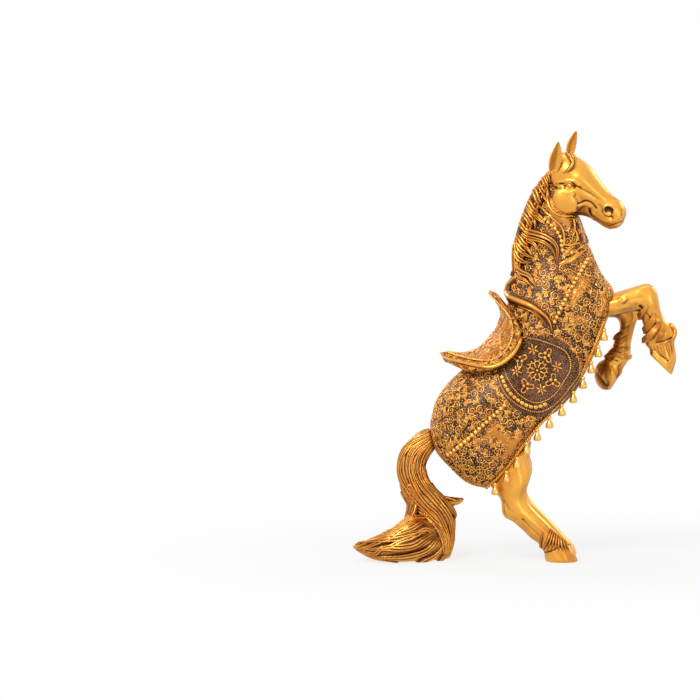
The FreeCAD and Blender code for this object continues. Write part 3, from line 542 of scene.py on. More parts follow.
class Clay:
    """A casting that is worked like clay: points in millimetres, quads and tone."""

    def __init__(self, nodes: Sequence[str], voxel: float, passes: int,
                 lumps: Sequence[Array] = (), tone: float = 0.85) -> None:
        """Skins some CAD nodes with an even mesh and smooths away their facets.

        Args:
            nodes: CAD nodes that make up the casting.
            voxel: Size of the mesh's quads, in millimetres.
            passes: How many smoothing passes it gets.
            lumps: Rounded lumps pressed on before that, each a centre and three half axes.
            tone: How much gold shows before any work.
        """
        self.nodes = [node for node in nodes if "dowel" not in node]
        solid, faces = joined(*nodes, size=1.0)
        points = solid.tolist()
        for lump in lumps:
            base = len(points)
            ball, quads, tris, _ = dome(20, 9, -math.pi / 2 + 0.1)
            points += [tuple(p) for p in (lump[0] + ball @ lump[1:]) * MM]
            faces += [tuple(base + k for k in face) for face in [*quads.tolist(), *tris.tolist()]]
        mesh = bpy.data.meshes.new("blank")
        mesh.from_pydata(points, [], faces)
        blank = placed("blank", mesh)
        remesh = blank.modifiers.new("even", "REMESH")
        remesh.mode, remesh.voxel_size = "VOXEL", voxel * MM
        bpy.context.view_layer.update()
        done = blank.evaluated_get(bpy.context.evaluated_depsgraph_get()).to_mesh()
        self.points = np.empty(len(done.vertices) * 3)
        done.vertices.foreach_get("co", self.points)
        self.points = self.points.reshape(-1, 3) / MM
        quads = np.empty(len(done.loops), np.int32)
        done.loops.foreach_get("vertex_index", quads)
        self.quads = quads.reshape(-1, 4)
        bpy.data.objects.remove(blank)
        bpy.data.meshes.remove(mesh)
        self.keep_outside()
        self.voxel = voxel
        self.tones = np.full(len(self.points), tone)
        self.relax(passes)

    def keep_outside(self) -> None:
        """Drops what isn't joined to the largest shell."""
        label = np.arange(len(self.points))
        ends = self.sides()
        while True:
            low = np.minimum(label[ends[:, 0]], label[ends[:, 1]])
            fresh = label.copy()
            np.minimum.at(fresh, ends[:, 0], low)
            np.minimum.at(fresh, ends[:, 1], low)
            fresh = fresh[fresh]
            if (fresh == label).all():
                break
            label = fresh
        names, sizes = np.unique(label, return_counts=True)
        kept = label == names[sizes.argmax()]
        index = np.cumsum(kept) - 1
        self.quads = index[self.quads[kept[self.quads[:, 0]]]]
        self.points = self.points[kept]
        self.edges = np.unique(np.sort(self.sides(), axis=1), axis=0)

    def sides(self) -> Array:
        """Both ends of every side of the quads."""
        return np.concatenate([self.quads[:, [k, (k + 1) % 4]] for k in range(4)])

    def blur(self, values: Array) -> Array:
        """Mean of each point's neighbours.

        Args:
            values: A number or a row of numbers for each point.

        Returns:
            The means, in the same form.
        """
        a, b = self.edges.T
        count = np.bincount(np.concatenate([a, b]), minlength=len(self.points))
        columns = [np.bincount(np.concatenate([a, b]),
                               np.concatenate([column[b], column[a]]), len(self.points)) / count
                   for column in values.reshape(len(values), -1).T]
        return np.stack(columns, axis=1).reshape(values.shape)

    def relax(self, passes: int, share: float = 0.6) -> None:
        """Smooths the surface."""
        for _ in range(passes):
            self.points += (self.blur(self.points) - self.points) * share

    def normals(self) -> Array:
        """Outward normals at the points.

        Returns:
            One direction of length one for each point.
        """
        a, b, c, d = (self.points[self.quads[:, k]] for k in range(4))
        cross = np.cross(c - a, d - b)
        total = np.zeros_like(self.points)
        for k in range(4):
            for axis in range(3):
                total[:, axis] += np.bincount(self.quads[:, k], cross[:, axis], len(self.points))
        return unit(total)

    def distance(self, path: Array) -> Array:
        """Distance of each point from a path.

        Args:
            path: Points of the path.

        Returns:
            One distance for each point.
        """
        best = np.full(len(self.points), 1e9)
        for a, b in zip(path, path[1:]):
            run = b - a
            along = np.clip((self.points - a) @ run / max(run @ run, 1e-9), 0, 1)
            off = self.points - a - along[:, None] * run
            best = np.minimum(best, np.einsum("ij,ij->i", off, off))
        return np.sqrt(best)

    def stroke(self, path: Array, width: float, height: float, tone: float = 0.0) -> None:
        """Raises or sinks the surface along a path.

        Args:
            path: Points of the stroke, in millimetres.
            width: Half width of the stroke.
            height: How far the surface moves, below zero for a groove.
            tone: How much lighter it gets, below zero for darker.
        """
        weight = np.exp(-(self.distance(np.atleast_2d(path)) / width) ** 2)
        self.points += self.normals() * (weight * height)[:, None]
        self.tones += weight * tone

    def hollow_wash_and_shade(self, strength: float, reach: int = 3) -> None:
        """Darkens hollows and brightens edges: antique wash in fine creases, painted shade and
        painted highlight over broad forms.

        Args:
            strength: How much the tone changes.
            reach: How wide the hollows are, in rings of points.
        """
        smooth = self.points
        for _ in range(reach):
            smooth = self.blur(smooth)
        proud = np.einsum("ij,ij->i", self.points - smooth, self.normals())
        self.tones += np.clip(proud / self.voxel * strength, -0.7, 0.3)

    def shade(self, strength: float, sky: tuple[float, float, float] = (-0.3, -0.35, 0.88)) -> None:
        """Paints shade on what faces down, away from the sky direction."""
        down = np.clip(0.25 - self.normals() @ np.array(sky), 0, 1.25)
        self.tones -= strength * down ** 0.8

    def patina_and_shade(self, edges: float, reach: int = 4, broad: float = 0.25, broad_reach: int = 24,
               underside_shade: float = 0.6) -> None:
        """Wears a plain casting: antique wash in its creases, painted shade in its broad hollows
        and on what faces down.

        Args:
            edges: How much its edges brighten and its creases darken.
            reach: How wide a crease is, in rings of points.
            broad: The same as edges, for its broad forms, where it is painted shade and painted
                highlight.
            broad_reach: How wide a broad form is.
            underside_shade: How much painted shade lies on what faces down.
        """
        self.hollow_wash_and_shade(edges, reach)
        # Painted shade and highlight over broad forms, then painted shade on what faces down.
        self.hollow_wash_and_shade(broad, broad_reach)
        self.shade(underside_shade)

    def skin(self, other: Optional["Clay"] = None) -> Skin:
        """The surface as it is now, alone or with another casting, for laying ornaments on.

        Args:
            other: The other casting.

        Returns:
            The surface.
        """
        if other is None:
            return Skin(self.points, self.quads)
        return Skin(np.concatenate([self.points, other.points]),
                    np.concatenate([self.quads, other.quads + len(self.points)]))

    def piece(self, name: str, finish: Finish) -> bpy.types.Object:
        """Makes the casting, which stands for its CAD nodes."""
        made = new_object(name, self.points, self.quads, np.zeros((0, 3), int), self.tones, finish)
        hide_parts(*self.nodes)
        return made


SectionTable = tuple[Array, Array]


def round_section(sides: int = 6) -> SectionTable:
    """Section of a wire, half sunk in what it lies on, and its tones."""
    turn = np.arange(sides) * 2 * math.pi / sides
    outline = np.stack([np.cos(turn) / 2, np.sin(turn) / 2 + 0.15], axis=1)
    return outline, 0.55 + 0.45 * np.sin(turn)


def hair_section(ridges: int = 3, steps: int = 12, depth: float = 0.22) -> SectionTable:
    """Section of a lock of hair with ridges on its back, and its tones.

    Args:
        ridges: How many ridges.
        steps: How many steps its back has.
        depth: Depth of the grooves.

    Returns:
        Outline and tones.
    """
    turn = np.linspace(0, math.pi, steps + 1)
    wave = np.cos(turn * 2 * ridges)
    crown = np.sin(turn) ** 0.75
    top = np.stack([np.cos(turn) / 2, crown * (1 + depth * wave - depth) - 0.12], axis=1)
    base = np.array([[-0.3, -0.4], [0.3, -0.4]])
    tones = np.concatenate([(0.55 + 0.45 * wave) * (0.35 + 0.65 * crown), [0.1, 0.1]])
    return np.concatenate([top, base]), tones


def dome(sides: int = 8, levels: int = 3, low: float = -0.5) -> tuple[Array, Array, Array, Array]:
    """A unit bead that rises from its seat.

    Args:
        sides: How many sides it has.
        levels: How many bands its height has.
        low: Tilt of its lowest ring, in radians.

    Returns:
        Points, quads, triangles and tones.
    """
    points, tones = [], []
    for level in range(levels + 1):
        tilt = low + (math.pi / 2 - low) * level / (levels + 1)
        for k in range(sides):
            turn = 2 * math.pi * k / sides
            points.append((math.cos(tilt) * math.cos(turn), math.cos(tilt) * math.sin(turn),
                           math.sin(tilt)))
            tones.append(0.25 + 0.75 * max(math.sin(tilt), 0) ** 0.5)
    points.append((0, 0, 1))
    tones.append(1.0)
    quads = [(level * sides + k, level * sides + (k + 1) % sides,
              (level + 1) * sides + (k + 1) % sides, (level + 1) * sides + k)
             for level in range(levels) for k in range(sides)]
    top = levels * sides
    tris = [(top + k, top + (k + 1) % sides, top + sides) for k in range(sides)]
    tris += [(0, k + 1, k) for k in range(1, sides - 1)]
    return np.array(points), np.array(quads), np.array(tris), np.array(tones)


class Relief:
    """Raised work gathered into one mesh: wires, beads, leaves and locks."""

    def __init__(self) -> None:
        """Starts empty."""
        self.points: list[Array] = []
        self.quads: list[Array] = []
        self.tris: list[Array] = []
        self.tones: list[Array] = []
        self.count = 0

    def add(self, points: Array, quads: Array, tris: Array, tones: Array) -> None:
        """Adds a closed form.

        Args:
            points: Its points in millimetres.
            quads: Its four-sided faces.
            tris: Its triangles.
            tones: How much gold shows at each point.
        """
        self.points.append(points)
        self.quads.append(np.asarray(quads, int).reshape(-1, 4) + self.count)
        self.tris.append(np.asarray(tris, int).reshape(-1, 3) + self.count)
        self.tones.append(tones)
        self.count += len(points)

    def sweep(self, path: Array, normals: Array, widths: object, heights: object,
              section: SectionTable) -> None:
        """Carries a section along a path.

        Args:
            path: Points of the path.
            normals: Directions of the section's height.
            widths: Width at each point, or one for all.
            heights: Height at each point, or one for all.
            section: Outline and tones of the section.
        """
        outline, tones = section
        count = len(path)
        widths, heights = (np.broadcast_to(np.asarray(v, float), count)[:, None]
                           for v in (widths, heights))
        along = unit(np.gradient(path, axis=0))
        across = unit(np.cross(along, normals))
        up = np.cross(across, along)
        rings = (path[:, None] + across[:, None] * (outline[:, 0] * widths)[..., None]
                 + up[:, None] * (outline[:, 1] * heights)[..., None])
        self.tube(rings, np.tile(tones, count), (tones.mean(), tones.mean()))

    def tube(self, rings: Array, tones: Array, ends: tuple[float, float]) -> None:
        """Joins rings into a closed form.

        Args:
            rings: Points of each ring.
            tones: One tone for each point.
            ends: Tones of the middles that close the first and the last ring.
        """
        count, sides = rings.shape[:2]
        i, j = np.meshgrid(np.arange(count - 1), np.arange(sides), indexing="ij")
        k = (j + 1) % sides
        quads = np.stack([i * sides + j, (i + 1) * sides + j, (i + 1) * sides + k, i * sides + k],
                         axis=-1)
        j, k, last = j[0], k[0], (count - 1) * sides
        hub = np.full(sides, count * sides)
        tris = np.concatenate([np.stack([hub, j, k], 1),
                               np.stack([hub + 1, last + k, last + j], 1)])
        points = np.concatenate([rings.reshape(-1, 3), rings[:1].mean(1), rings[-1:].mean(1)])
        self.add(points, quads, tris, np.concatenate([tones, ends]))

    def bead(self, centre: Array, normal: Array, radius: float, flat: float = 1.0,
             form: tuple[Array, Array, Array, Array] = dome(), shade: float = 1.0) -> None:
        """Adds a bead.

        Args:
            centre: Where it sits.
            normal: Which way it rises.
            radius: Its radius.
            flat: Its height as a share of its radius.
            form: The unit bead.
            shade: Factor on its tones.
        """
        points, quads, tris, tones = form
        side = np.cross(normal, [0.31, 0.52, 0.79])
        side = unit(side)
        other = np.cross(normal, side)
        turned = (points[:, :1] * side + points[:, 1:2] * other) * radius
        turned += points[:, 2:] * normal * (radius * flat)
        self.add(centre + turned, quads, tris, tones * shade)

    def turned(self, top: Array, profile: Sequence[tuple[float, float]], sides: int = 14,
               ribs: float = 0.0) -> None:
        """Adds a form turned about an upright axis.

        Args:
            top: Where it hangs from.
            profile: Drop below the top and radius, from the top down.
            sides: How many sides it has.
            ribs: Depth of the ribs down its sides, as a share.
        """
        turn = np.arange(sides) * 2 * math.pi / sides
        wave = 1 - ribs * (np.arange(sides) % 2)
        rings = np.array([[top + [r * w * math.cos(t), r * w * math.sin(t), -drop]
                           for t, w in zip(turn, wave)] for drop, r in profile])
        radii = np.array([r for _, r in profile])
        tones = np.repeat(0.35 + 0.65 * radii / radii.max(), sides)
        self.tube(rings, tones, (0.3, 0.4))

    def string(self, path: Array, normals: Array, radius: float, flat: float = 1.0) -> None:
        """Adds a row of equal beads along a path."""
        for place, normal in zip(path, normals):
            self.bead(place, normal, radius, flat)

    def ground(self) -> None:
        """Presses what hangs below the floor up to it."""
        for part in self.points:
            np.maximum(part[:, 2], 0.0, out=part[:, 2])

    def mirror(self) -> "Relief":
        """The same work on the horse's other side.

        Returns:
            The mirrored work.
        """
        other = Relief()
        other.points = [both_sides(p)[1] for p in self.points]
        other.quads = [q[:, ::-1] for q in self.quads]
        other.tris = [t[:, ::-1] for t in self.tris]
        other.tones, other.count = list(self.tones), self.count
        return other

    def piece(self, name: str, finish: Finish, *nodes: str) -> bpy.types.Object:
        """Makes the work, which stands for any CAD nodes named.

        Args:
            name: Name of the piece.
            finish: Its finish.
            *nodes: The CAD nodes.

        Returns:
            The new object.
        """
        made = new_object(name, np.concatenate(self.points), np.concatenate(self.quads),
                          np.concatenate(self.tris), np.concatenate(self.tones), finish)
        if nodes:
            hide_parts(*nodes)
        return made

    def pair(self, name: str, finish: Finish, *nodes: str) -> None:
        """Makes the work on both sides, each with its own side's nodes.

        Args:
            name: Name of the pieces, without the side.
            finish: Their finish.
            *nodes: The CAD nodes, without the side.
        """
        for side, work in ((Side.RIGHT, self), (Side.LEFT, self.mirror())):
            tail = "_" + side.value
            work.piece(name + tail, finish, *[node + tail for node in nodes])


WIRE = round_section()
FINE_WIRE = round_section(5)
GRAIN = dome(6, 2)


def solids_of(node: str) -> list[Array]:
    """Points of each separate solid in a CAD node, in millimetres, in the mesh's order.

    Args:
        node: The node's name.

    Returns:
        One array of points for each solid.
    """
    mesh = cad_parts[node].data
    points = np.array([v.co for v in mesh.vertices]) / MM
    keys = {}
    label = np.array([keys.setdefault(tuple(np.round(p, 3)), len(keys)) for p in points])
    parent = list(range(len(keys)))

    def root(k: int) -> int:
        """The label that stands for a group."""
        while parent[k] != k:
            parent[k] = parent[parent[k]]
            k = parent[k]
        return k

    for face in mesh.polygons:
        first = root(label[face.vertices[0]])
        for corner in face.vertices[1:]:
            parent[root(label[corner])] = first
    groups: dict[int, list[Array]] = {}
    for point, k in zip(points, label):
        groups.setdefault(root(k), []).append(point)
    return [np.array(group) for group in groups.values()]


def middle_line(points: Array, count: int = 48, key: Optional[Array] = None) -> Array:
    """Middle line of a slender form.

    Args:
        points: Its points.
        count: How many places along it are wanted.
        key: Number that grows along it at each point, or none to use its longest direction.

    Returns:
        Points along its middle, from one end to the other.
    """
    if key is None:
        centred = points - points.mean(0)
        key = centred @ np.linalg.svd(centred, full_matrices=False)[2][0]
    bins = np.clip(((key - key.min()) / np.ptp(key) * count).astype(int), 0, count - 1)
    return np.array([(points[bins == k].min(0) + points[bins == k].max(0)) / 2
                     for k in range(count) if (bins == k).any()])


def soften(rows: Array, passes: int = 3) -> Array:
    """Evens out a row of points or directions, with its ends kept."""
    rows = rows.copy()
    for _ in range(passes):
        rows[1:-1] = (rows[:-2] + 2 * rows[1:-1] + rows[2:]) / 4
    return rows


def eased(path: Array, normals: Array, passes: int = 4, turns: int = 12) -> tuple[Array, Array]:
    """A path evened out in some passes, and its normals in passes of their own."""
    return soften(path, passes), unit(soften(normals, turns))


@dataclass(frozen=True)
class Lock:
    """A lock of hair: its line in the photograph and its sizes in millimetres."""

    line: Pixels
    width: float
    lift: float = 0.6
    plump: float = 0.55
    ridges: int = 3
    peak: float = 0.35
    root: float = 0.45
    tip: float = 0.08
    least_tone: float = 0.0

    def lay(self, relief: Relief, skin: Skin, behind: bool = False) -> None:
        """Adds the lock to some raised work, on a surface."""
        self.shape(relief, *skin.line(self.line, 0.9, behind=behind))

    def shape(self, relief: Relief, path: Array, normals: Array) -> None:
        """Adds the lock along a path.

        Args:
            relief: The raised work.
            path: Points in millimetres.
            normals: Which way the lock stands out at each point.
        """
        path, normals = eased(path, normals)
        share = np.linspace(0, 1, len(path))
        path = path + normals * (self.lift * np.sin(math.pi * share) ** 0.8)[:, None]
        widths = taper(len(path), self.width * self.root, self.width, self.width * self.tip,
                       self.peak)
        outline, tones = hair_section(self.ridges, max(8, 4 * self.ridges))
        relief.sweep(path, normals, widths, widths * self.plump + 0.2,
                     (outline, np.maximum(tones, self.least_tone)))


def feather(line: Pixels, width: float, lift: float, plump: float = 0.7, tip: float = 0.08) -> Lock:
    """A plain golden lock of the feather above a hoof."""
    return Lock(line, width, lift, plump, 1, tip=tip, least_tone=0.5)


# The body and its barding.


@dataclass
class Barding:
    """Torso and neck in one casting, under a cloth of filigree."""

    voxel: float = 1.1
    passes: int = 30
    tone: float = 0.31
    swell_height: float = 0.7
    swell_tone: float = 0.62
    underside_shade: float = 0.12
    swells: tuple[tuple[Pixels, float], ...] = (
        (((580, 279), (586, 282), (578, 292)), 3.4), (((572, 305), (575, 298), (577, 291)), 2.2),
        (((603, 296), (605, 303), (600, 312)), 2.6), (((571, 322), (580, 318), (586, 322)), 1.8),
        (((493, 433), (503, 438), (512, 446)), 4.2), (((520, 436), (512, 448), (503, 458)), 2.6),
        (((478, 442), (488, 436), (497, 426)), 2.0),
        (((549.5, 203), (553.2, 211.5), (559.5, 217.5), (567.5, 221.5)), 4.2))
    clay: Clay = field(init=False)
    surface: Skin = field(init=False)

    def build(self) -> None:
        """Skins torso and neck."""
        self.clay = Clay(["torso", "neck", "neck_dowel", "head_dowel", "tail_dowel",
                          "foreleg_right_dowel", "foreleg_left_dowel", "hind_leg_right_dowel",
                          "hind_leg_left_dowel"], self.voxel, self.passes, tone=self.tone)
        self.surface = self.clay.skin()
        for pixels, width in self.swells:
            path, _ = self.surface.line(pixels, 1.0)
            for line in both_sides(path):
                self.clay.stroke(line, width, self.swell_height, self.swell_tone)
        self.surface = self.clay.skin()
        # Painted shade on what faces down.
        self.clay.shade(self.underside_shade)
        self.clay.piece("barding_casting", BARDING)


@dataclass
class Filigree:
    """Scrolls, wheels, leaves and grains that cover the barding."""

    pitch: float = 5.8
    fill_pitch: float = 2.1
    wire: float = 0.9
    size: float = 1.12
    seed: int = 7
    clearance: float = 3.5
    step_off: float = 0.2
    plain_tone: float = 0.6
    seam: float = 1.6
    fill_seam: float = 0.9
    berth: float = 2.7
    fill_berth: float = 1.5
    core: float = 3.1
    regions: dict[str, Callable[[Array], bool]] = field(default_factory=lambda: {
        "croup": lambda p: p[0] < -8, "barrel": lambda p: p[2] < 205,
        "shoulder": lambda p: p[2] < 246, "neck": lambda p: True})
    work: dict[str, Relief] = field(default_factory=dict)

    def scroll(self, rng: np.random.Generator) -> list[tuple[Array, Array]]:
        """Flat lines and widths of a double scroll with leaf ends.

        Args:
            rng: Source of its small differences.

        Returns:
            A line and its widths for each wire.
        """
        lines = []
        for sign in (1, -1):
            turn = np.linspace(0, 2.9 * math.pi, 15)
            reach = np.linspace(0.35, 1.85, 15) ** 1.12
            curl = np.stack([np.cos(turn) * reach, np.sin(turn) * reach * sign], 1)
            curl += [-1.5, 1.25 * sign]
            stem = np.array([[1.0, 0.3 * sign], [2.3, 0.9 * sign]])
            lines.append((np.concatenate([curl, stem + [0.3, 0]])[:16],
                          np.linspace(0.75, 1.15, 16)))
        sprig = np.stack([np.linspace(0.6, 3.0, 6),
                          rng.uniform(-0.4, 0.4) * np.linspace(0, 1, 6)], 1)
        lines.append((sprig, np.array([0.5, 1.2, 1.5, 1.3, 0.9, 0.3])))
        return lines

    def curl(self, rng: np.random.Generator) -> list[tuple[Array, Array]]:
        """Flat lines and widths of a single large scroll with side leaves.

        Args:
            rng: Source of its small differences.

        Returns:
            A line and its widths for each wire.
        """
        turn = np.linspace(-0.6, 2.9 * math.pi, 24)
        reach = 3.0 * (1 - turn / (3.7 * math.pi)) ** 0.95
        spiral = np.stack([np.cos(turn) * reach, np.sin(turn) * reach], 1)
        lines = [(spiral, np.linspace(1.25, 0.7, 24))]
        for angle in (0.6, 2.0, 3.4):
            angle += rng.uniform(-0.3, 0.3)
            base = np.array([math.cos(angle), math.sin(angle)])
            swing = np.array([-base[1], base[0]])
            leaf = [base * 2.7, base * 3.2 + swing * 0.5, base * 3.4 + swing * 1.3]
            lines.append((spline(np.array(leaf), 5), np.array([0.6, 1.3, 1.5, 1.0, 0.3])))
        return lines

    def wheel(self, rng: np.random.Generator) -> list[tuple[Array, Array]]:
        """Flat lines and widths of a ring with curls inside.

        Args:
            rng: Source of its small differences.

        Returns:
            A line and its widths for each wire.
        """
        turn = np.linspace(0, 2 * math.pi, 19)
        lines = [(np.stack([np.cos(turn), np.sin(turn)], 1) * 2.7, np.full(19, 0.95))]
        for k in range(4):
            start = k * math.pi / 2 + rng.uniform(-0.15, 0.15)
            bend = np.linspace(0, 4.6, 8)
            loop = np.stack([np.cos(bend), np.sin(bend)], 1) * np.linspace(0.85, 0.3, 8)[:, None]
            spin = np.array([[math.cos(start), math.sin(start)],
                             [-math.sin(start), math.cos(start)]])
            lines.append(((loop + [1.25, 0]) @ spin, np.linspace(0.9, 0.6, 8)))
        return lines

    def lay(self, relief: Relief, skin: Skin, centre: Array, normal: Array, angle: float,
            lines: list[tuple[Array, Array]], size: float) -> None:
        """Lays flat lines on the surface round a point.

        Args:
            relief: The raised work.
            skin: The surface.
            centre: The point.
            normal: Its normal.
            angle: How far the lines are turned round it.
            lines: The flat lines with their widths.
            size: Scale of the lines.
        """
        side = unit(np.cross(normal, [0.2, 0.1, 1.0]))
        other = np.cross(normal, side)
        c, s = math.cos(angle), math.sin(angle)
        for flat, widths in lines:
            flat = flat * size
            u, v = flat[:, 0] * c - flat[:, 1] * s, flat[:, 0] * s + flat[:, 1] * c
            path, normals = skin.laid(centre + u[:, None] * side + v[:, None] * other)
            relief.sweep(path, normals, widths * self.wire, widths * self.wire, FINE_WIRE)

    def field_at(self, point: Array) -> Relief:
        """The field of work that a place belongs to."""
        return self.work[next(name for name, rule in self.regions.items() if rule(point))]

    def covered(self, covers: Skin, point: Array, normal: Array) -> bool:
        """Whether a piece of harness lies over a place."""
        start = Vector(point + normal * self.step_off)
        return covers.tree.ray_cast(start, Vector(normal), self.clearance)[0] is not None

    def build(self, clay: Clay, skin: Skin, covers: Skin, keep_off: Array) -> None:
        """Covers the right side of a casting and mirrors the work to the left.

        Args:
            clay: The casting.
            skin: Its surface.
            covers: Pieces that lie over it, under which no work is laid.
            keep_off: Points of trimmings that the work keeps clear of.
        """
        rng = np.random.default_rng(self.seed)
        normals = clay.normals()
        order = rng.permutation(len(clay.points))
        plain = clay.tones > self.plain_tone
        self.work = {name: Relief() for name in self.regions}
        chosen, fills = [], []
        for k in order:
            point, normal = clay.points[k], normals[k]
            if point[1] > MEDIAN_Y - self.seam or plain[k] or self.covered(covers, point, normal):
                continue
            if gap(keep_off, point) > self.berth and gap(chosen, point) > self.pitch:
                chosen.append(point)
                kind = rng.choice([self.scroll, self.curl, self.wheel], p=[0.45, 0.4, 0.15])
                work = self.field_at(point)
                self.lay(work, skin, point, normal, rng.uniform(0, 2 * math.pi),
                         kind(rng), self.size * rng.uniform(0.92, 1.1))
                work.bead(point, normal, 0.62, 0.9, GRAIN)
        middle = np.array(chosen)
        for k in rng.permutation(len(clay.points)):
            point, normal = clay.points[k], normals[k]
            if point[1] > MEDIAN_Y - self.fill_seam or plain[k]:
                continue
            if gap(middle, point) < self.core or gap(fills, point) < self.fill_pitch:
                continue
            if gap(keep_off, point) < self.fill_berth or self.covered(covers, point, normal):
                continue
            fills.append(point)
            self.field_at(point).bead(point, normal, rng.uniform(0.45, 0.75), 0.9, GRAIN)
        for name, relief in self.work.items():
            relief.pair(name + "_filigree", FILIGREE)


# Beads, hem and tassels.


@dataclass
class BeadRows:
    """Rows of round beads over collar, shoulder and haunch."""

    rows: tuple[str, ...] = ("collar_beads", "shoulder_beads", "haunch_beads")
    swell: float = 1.06
    centres: list[Array] = field(default_factory=list)

    def build(self, skin: Skin) -> None:
        """Turns every bead of the CAD rows into a smooth one.

        Args:
            skin: Surface that carries them.
        """
        for row in self.rows:
            for side in Side:
                node = f"{row}_{side.value}"
                relief = Relief()
                for solid in solids_of(node):
                    centre = (solid.min(0) + solid.max(0)) / 2
                    radius = np.linalg.norm(solid - centre, axis=1).max() * self.swell
                    place, normal = skin.near(centre)
                    seat = place + normal * radius * 0.2
                    relief.bead(seat, normal, radius, 1.1, dome(10, 4))
                    self.centres.append(place)
                relief.piece(node + "_cast", BEADS, node)


@dataclass
class Hem:
    """Twisted cord along the edge of the barding, with bead and bell tassels."""

    thick: float = 2.9
    lay_length: float = 4.2
    swell: float = 1.2
    step: float = 0.7
    bell: tuple[tuple[float, float], ...] = (
        (0, 0.2), (0.1, 0.5), (0.2, 0.55), (0.28, 0.36), (0.4, 0.5), (0.62, 0.85), (0.85, 1.02),
        (0.95, 0.96), (1, 0.7))
    path: dict[str, Array] = field(default_factory=dict)

    def build(self, skin: Skin) -> None:
        """Builds cord and tassels on both sides.

        Args:
            skin: Surface that carries them.
        """
        for side in Side:
            self.cord(side.value, skin)
            self.tassels(side.value)

    def cord(self, side: str, skin: Skin) -> None:
        """Twists two strands along one side's hem.

        Args:
            side: Name of the side.
            skin: Surface that carries the cord.
        """
        node = "hem_" + side
        points = np.concatenate(solids_of(node))
        middle = soften(middle_line(points, 60, points[:, 0] + points[:, 2]), 6)
        path = even(spline(middle, 200), self.step)
        self.path[side] = path
        normals = unit(soften(np.array([skin.near(p)[1] for p in path]), 20))
        along = unit(np.gradient(path, axis=0))
        across = np.cross(along, normals)
        turn = np.arange(len(path)) * self.step / self.lay_length * 2 * math.pi
        relief = Relief()
        for phase in (0, math.pi):
            swing = (np.cos(turn + phase)[:, None] * across
                     + np.sin(turn + phase)[:, None] * normals)
            relief.sweep(path + swing * self.thick * 0.24, normals, self.thick * 0.62,
                         self.thick * 0.62, round_section(7))
        relief.piece(node + "_cord", PIPING, node)

    def tassels(self, side: str) -> None:
        """Shapes one side's beads and bells.

        Args:
            side: Name of the side.
        """
        node = "tassels_" + side
        relief = Relief()
        for solid in solids_of(node):
            low, high = solid.min(0), solid.max(0)
            wide = (high - low)[:2].max() / 2 * self.swell
            tall = high[2] - low[2]
            top = np.array([*(low + high)[:2] / 2, high[2]])
            if tall > 2.6 * wide:
                relief.turned(top, [(tall * drop, wide * girth) for drop, girth in self.bell],
                              16, 0.1)
            else:
                arc = np.linspace(0.12, math.pi - 0.12, 9)
                relief.turned(top, [(tall / 2 * (1 - math.cos(a)), wide * math.sin(a))
                                    for a in arc], 14)
        relief.piece(node + "_cast", BEADS, node)


# Neck trimmings.


@dataclass
class Throat:
    """Framed panel on the throat, piping behind the jaw and the plain strap below."""

    jaw: Pixels = ((547.7, 191.5), (548.4, 201.8), (551.9, 210.2), (558.2, 215), (566, 216.5),
                   (571.6, 215.8))
    frame_left: Pixels = ((537.9, 203.2), (544.9, 210.9), (554, 219.3), (561, 226.3),
                          (563.9, 234.7), (563.9, 244.6))
    frame_low: Pixels = ((563.9, 244.6), (570.2, 245.3), (577.9, 243.2))
    frame_right: Pixels = ((577.5, 241), (574.4, 224.2), (573, 218.6))
    border: Pixels = ((577, 217), (580.5, 226), (583.5, 235), (584.5, 243))
    strap: Pixels = ((558.7, 264.4), (564, 262.5), (571, 259.5), (577, 255.5), (584, 250.5))
    sprig: Pixels = ((571, 241), (570, 236), (571.5, 231), (570, 226))

    def build(self, body: Clay, neck: Skin, relief: Relief) -> Array:
        """Builds panel, piping and strap.

        Args:
            body: The casting that carries them.
            neck: Surface of the neck.
            relief: Piping of both sides, which this adds to.

        Returns:
            Points that the filigree keeps clear of.
        """
        panel = Clay(["bib"], 0.45, 10, tone=0.25)
        skin, both = panel.skin(), panel.skin(body)
        panel.stroke(both.line(self.border, 0.8)[0], 3.0, 0.2, 0.6)
        panel.piece("throat_panel", BARDING)
        Filigree(pitch=4.4, size=0.75, wire=0.9, seed=4, regions={"throat": lambda p: True}).build(
            panel, skin, Skin(*joined("head")), skin.line(self.frame_right, 1.0)[0])
        taken = []
        for pixels, surface, width in ((self.jaw, neck, 2.0), (self.frame_left, neck, 1.9),
                                       (self.frame_low, both, 2.0), (self.frame_right, both, 2.0)):
            path, normals = eased(*surface.line(pixels, 0.7, 0.45))
            relief.sweep(path, normals, width, width, WIRE)
            taken.append(path)
        path, normals = neck.line(self.strap, 0.7, 0.1)
        relief.sweep(path, unit(soften(normals, 10)), taper(len(path), 0.6, 4.4, 1.6, 0.3), 1.5,
                     round_section(10))
        taken.append(path)
        for k, (px, py) in enumerate(self.sprig):
            place, normal = both.seen(px, py)
            relief.bead(place, normal, 1.0 - 0.12 * k, 1.0, dome(8, 3))
            for turn in (0.4, 2.7, 4.2):
                side = unit(np.cross(normal, [0, math.cos(turn), math.sin(turn)]))
                petal, petal_normals = skin.laid(place + side * np.linspace(0.8, 2.3, 5)[:, None])
                relief.sweep(petal, petal_normals, [0.5, 1.1, 1.2, 0.9, 0.3], 0.9, FINE_WIRE)
        return np.concatenate(taken)


# Head.


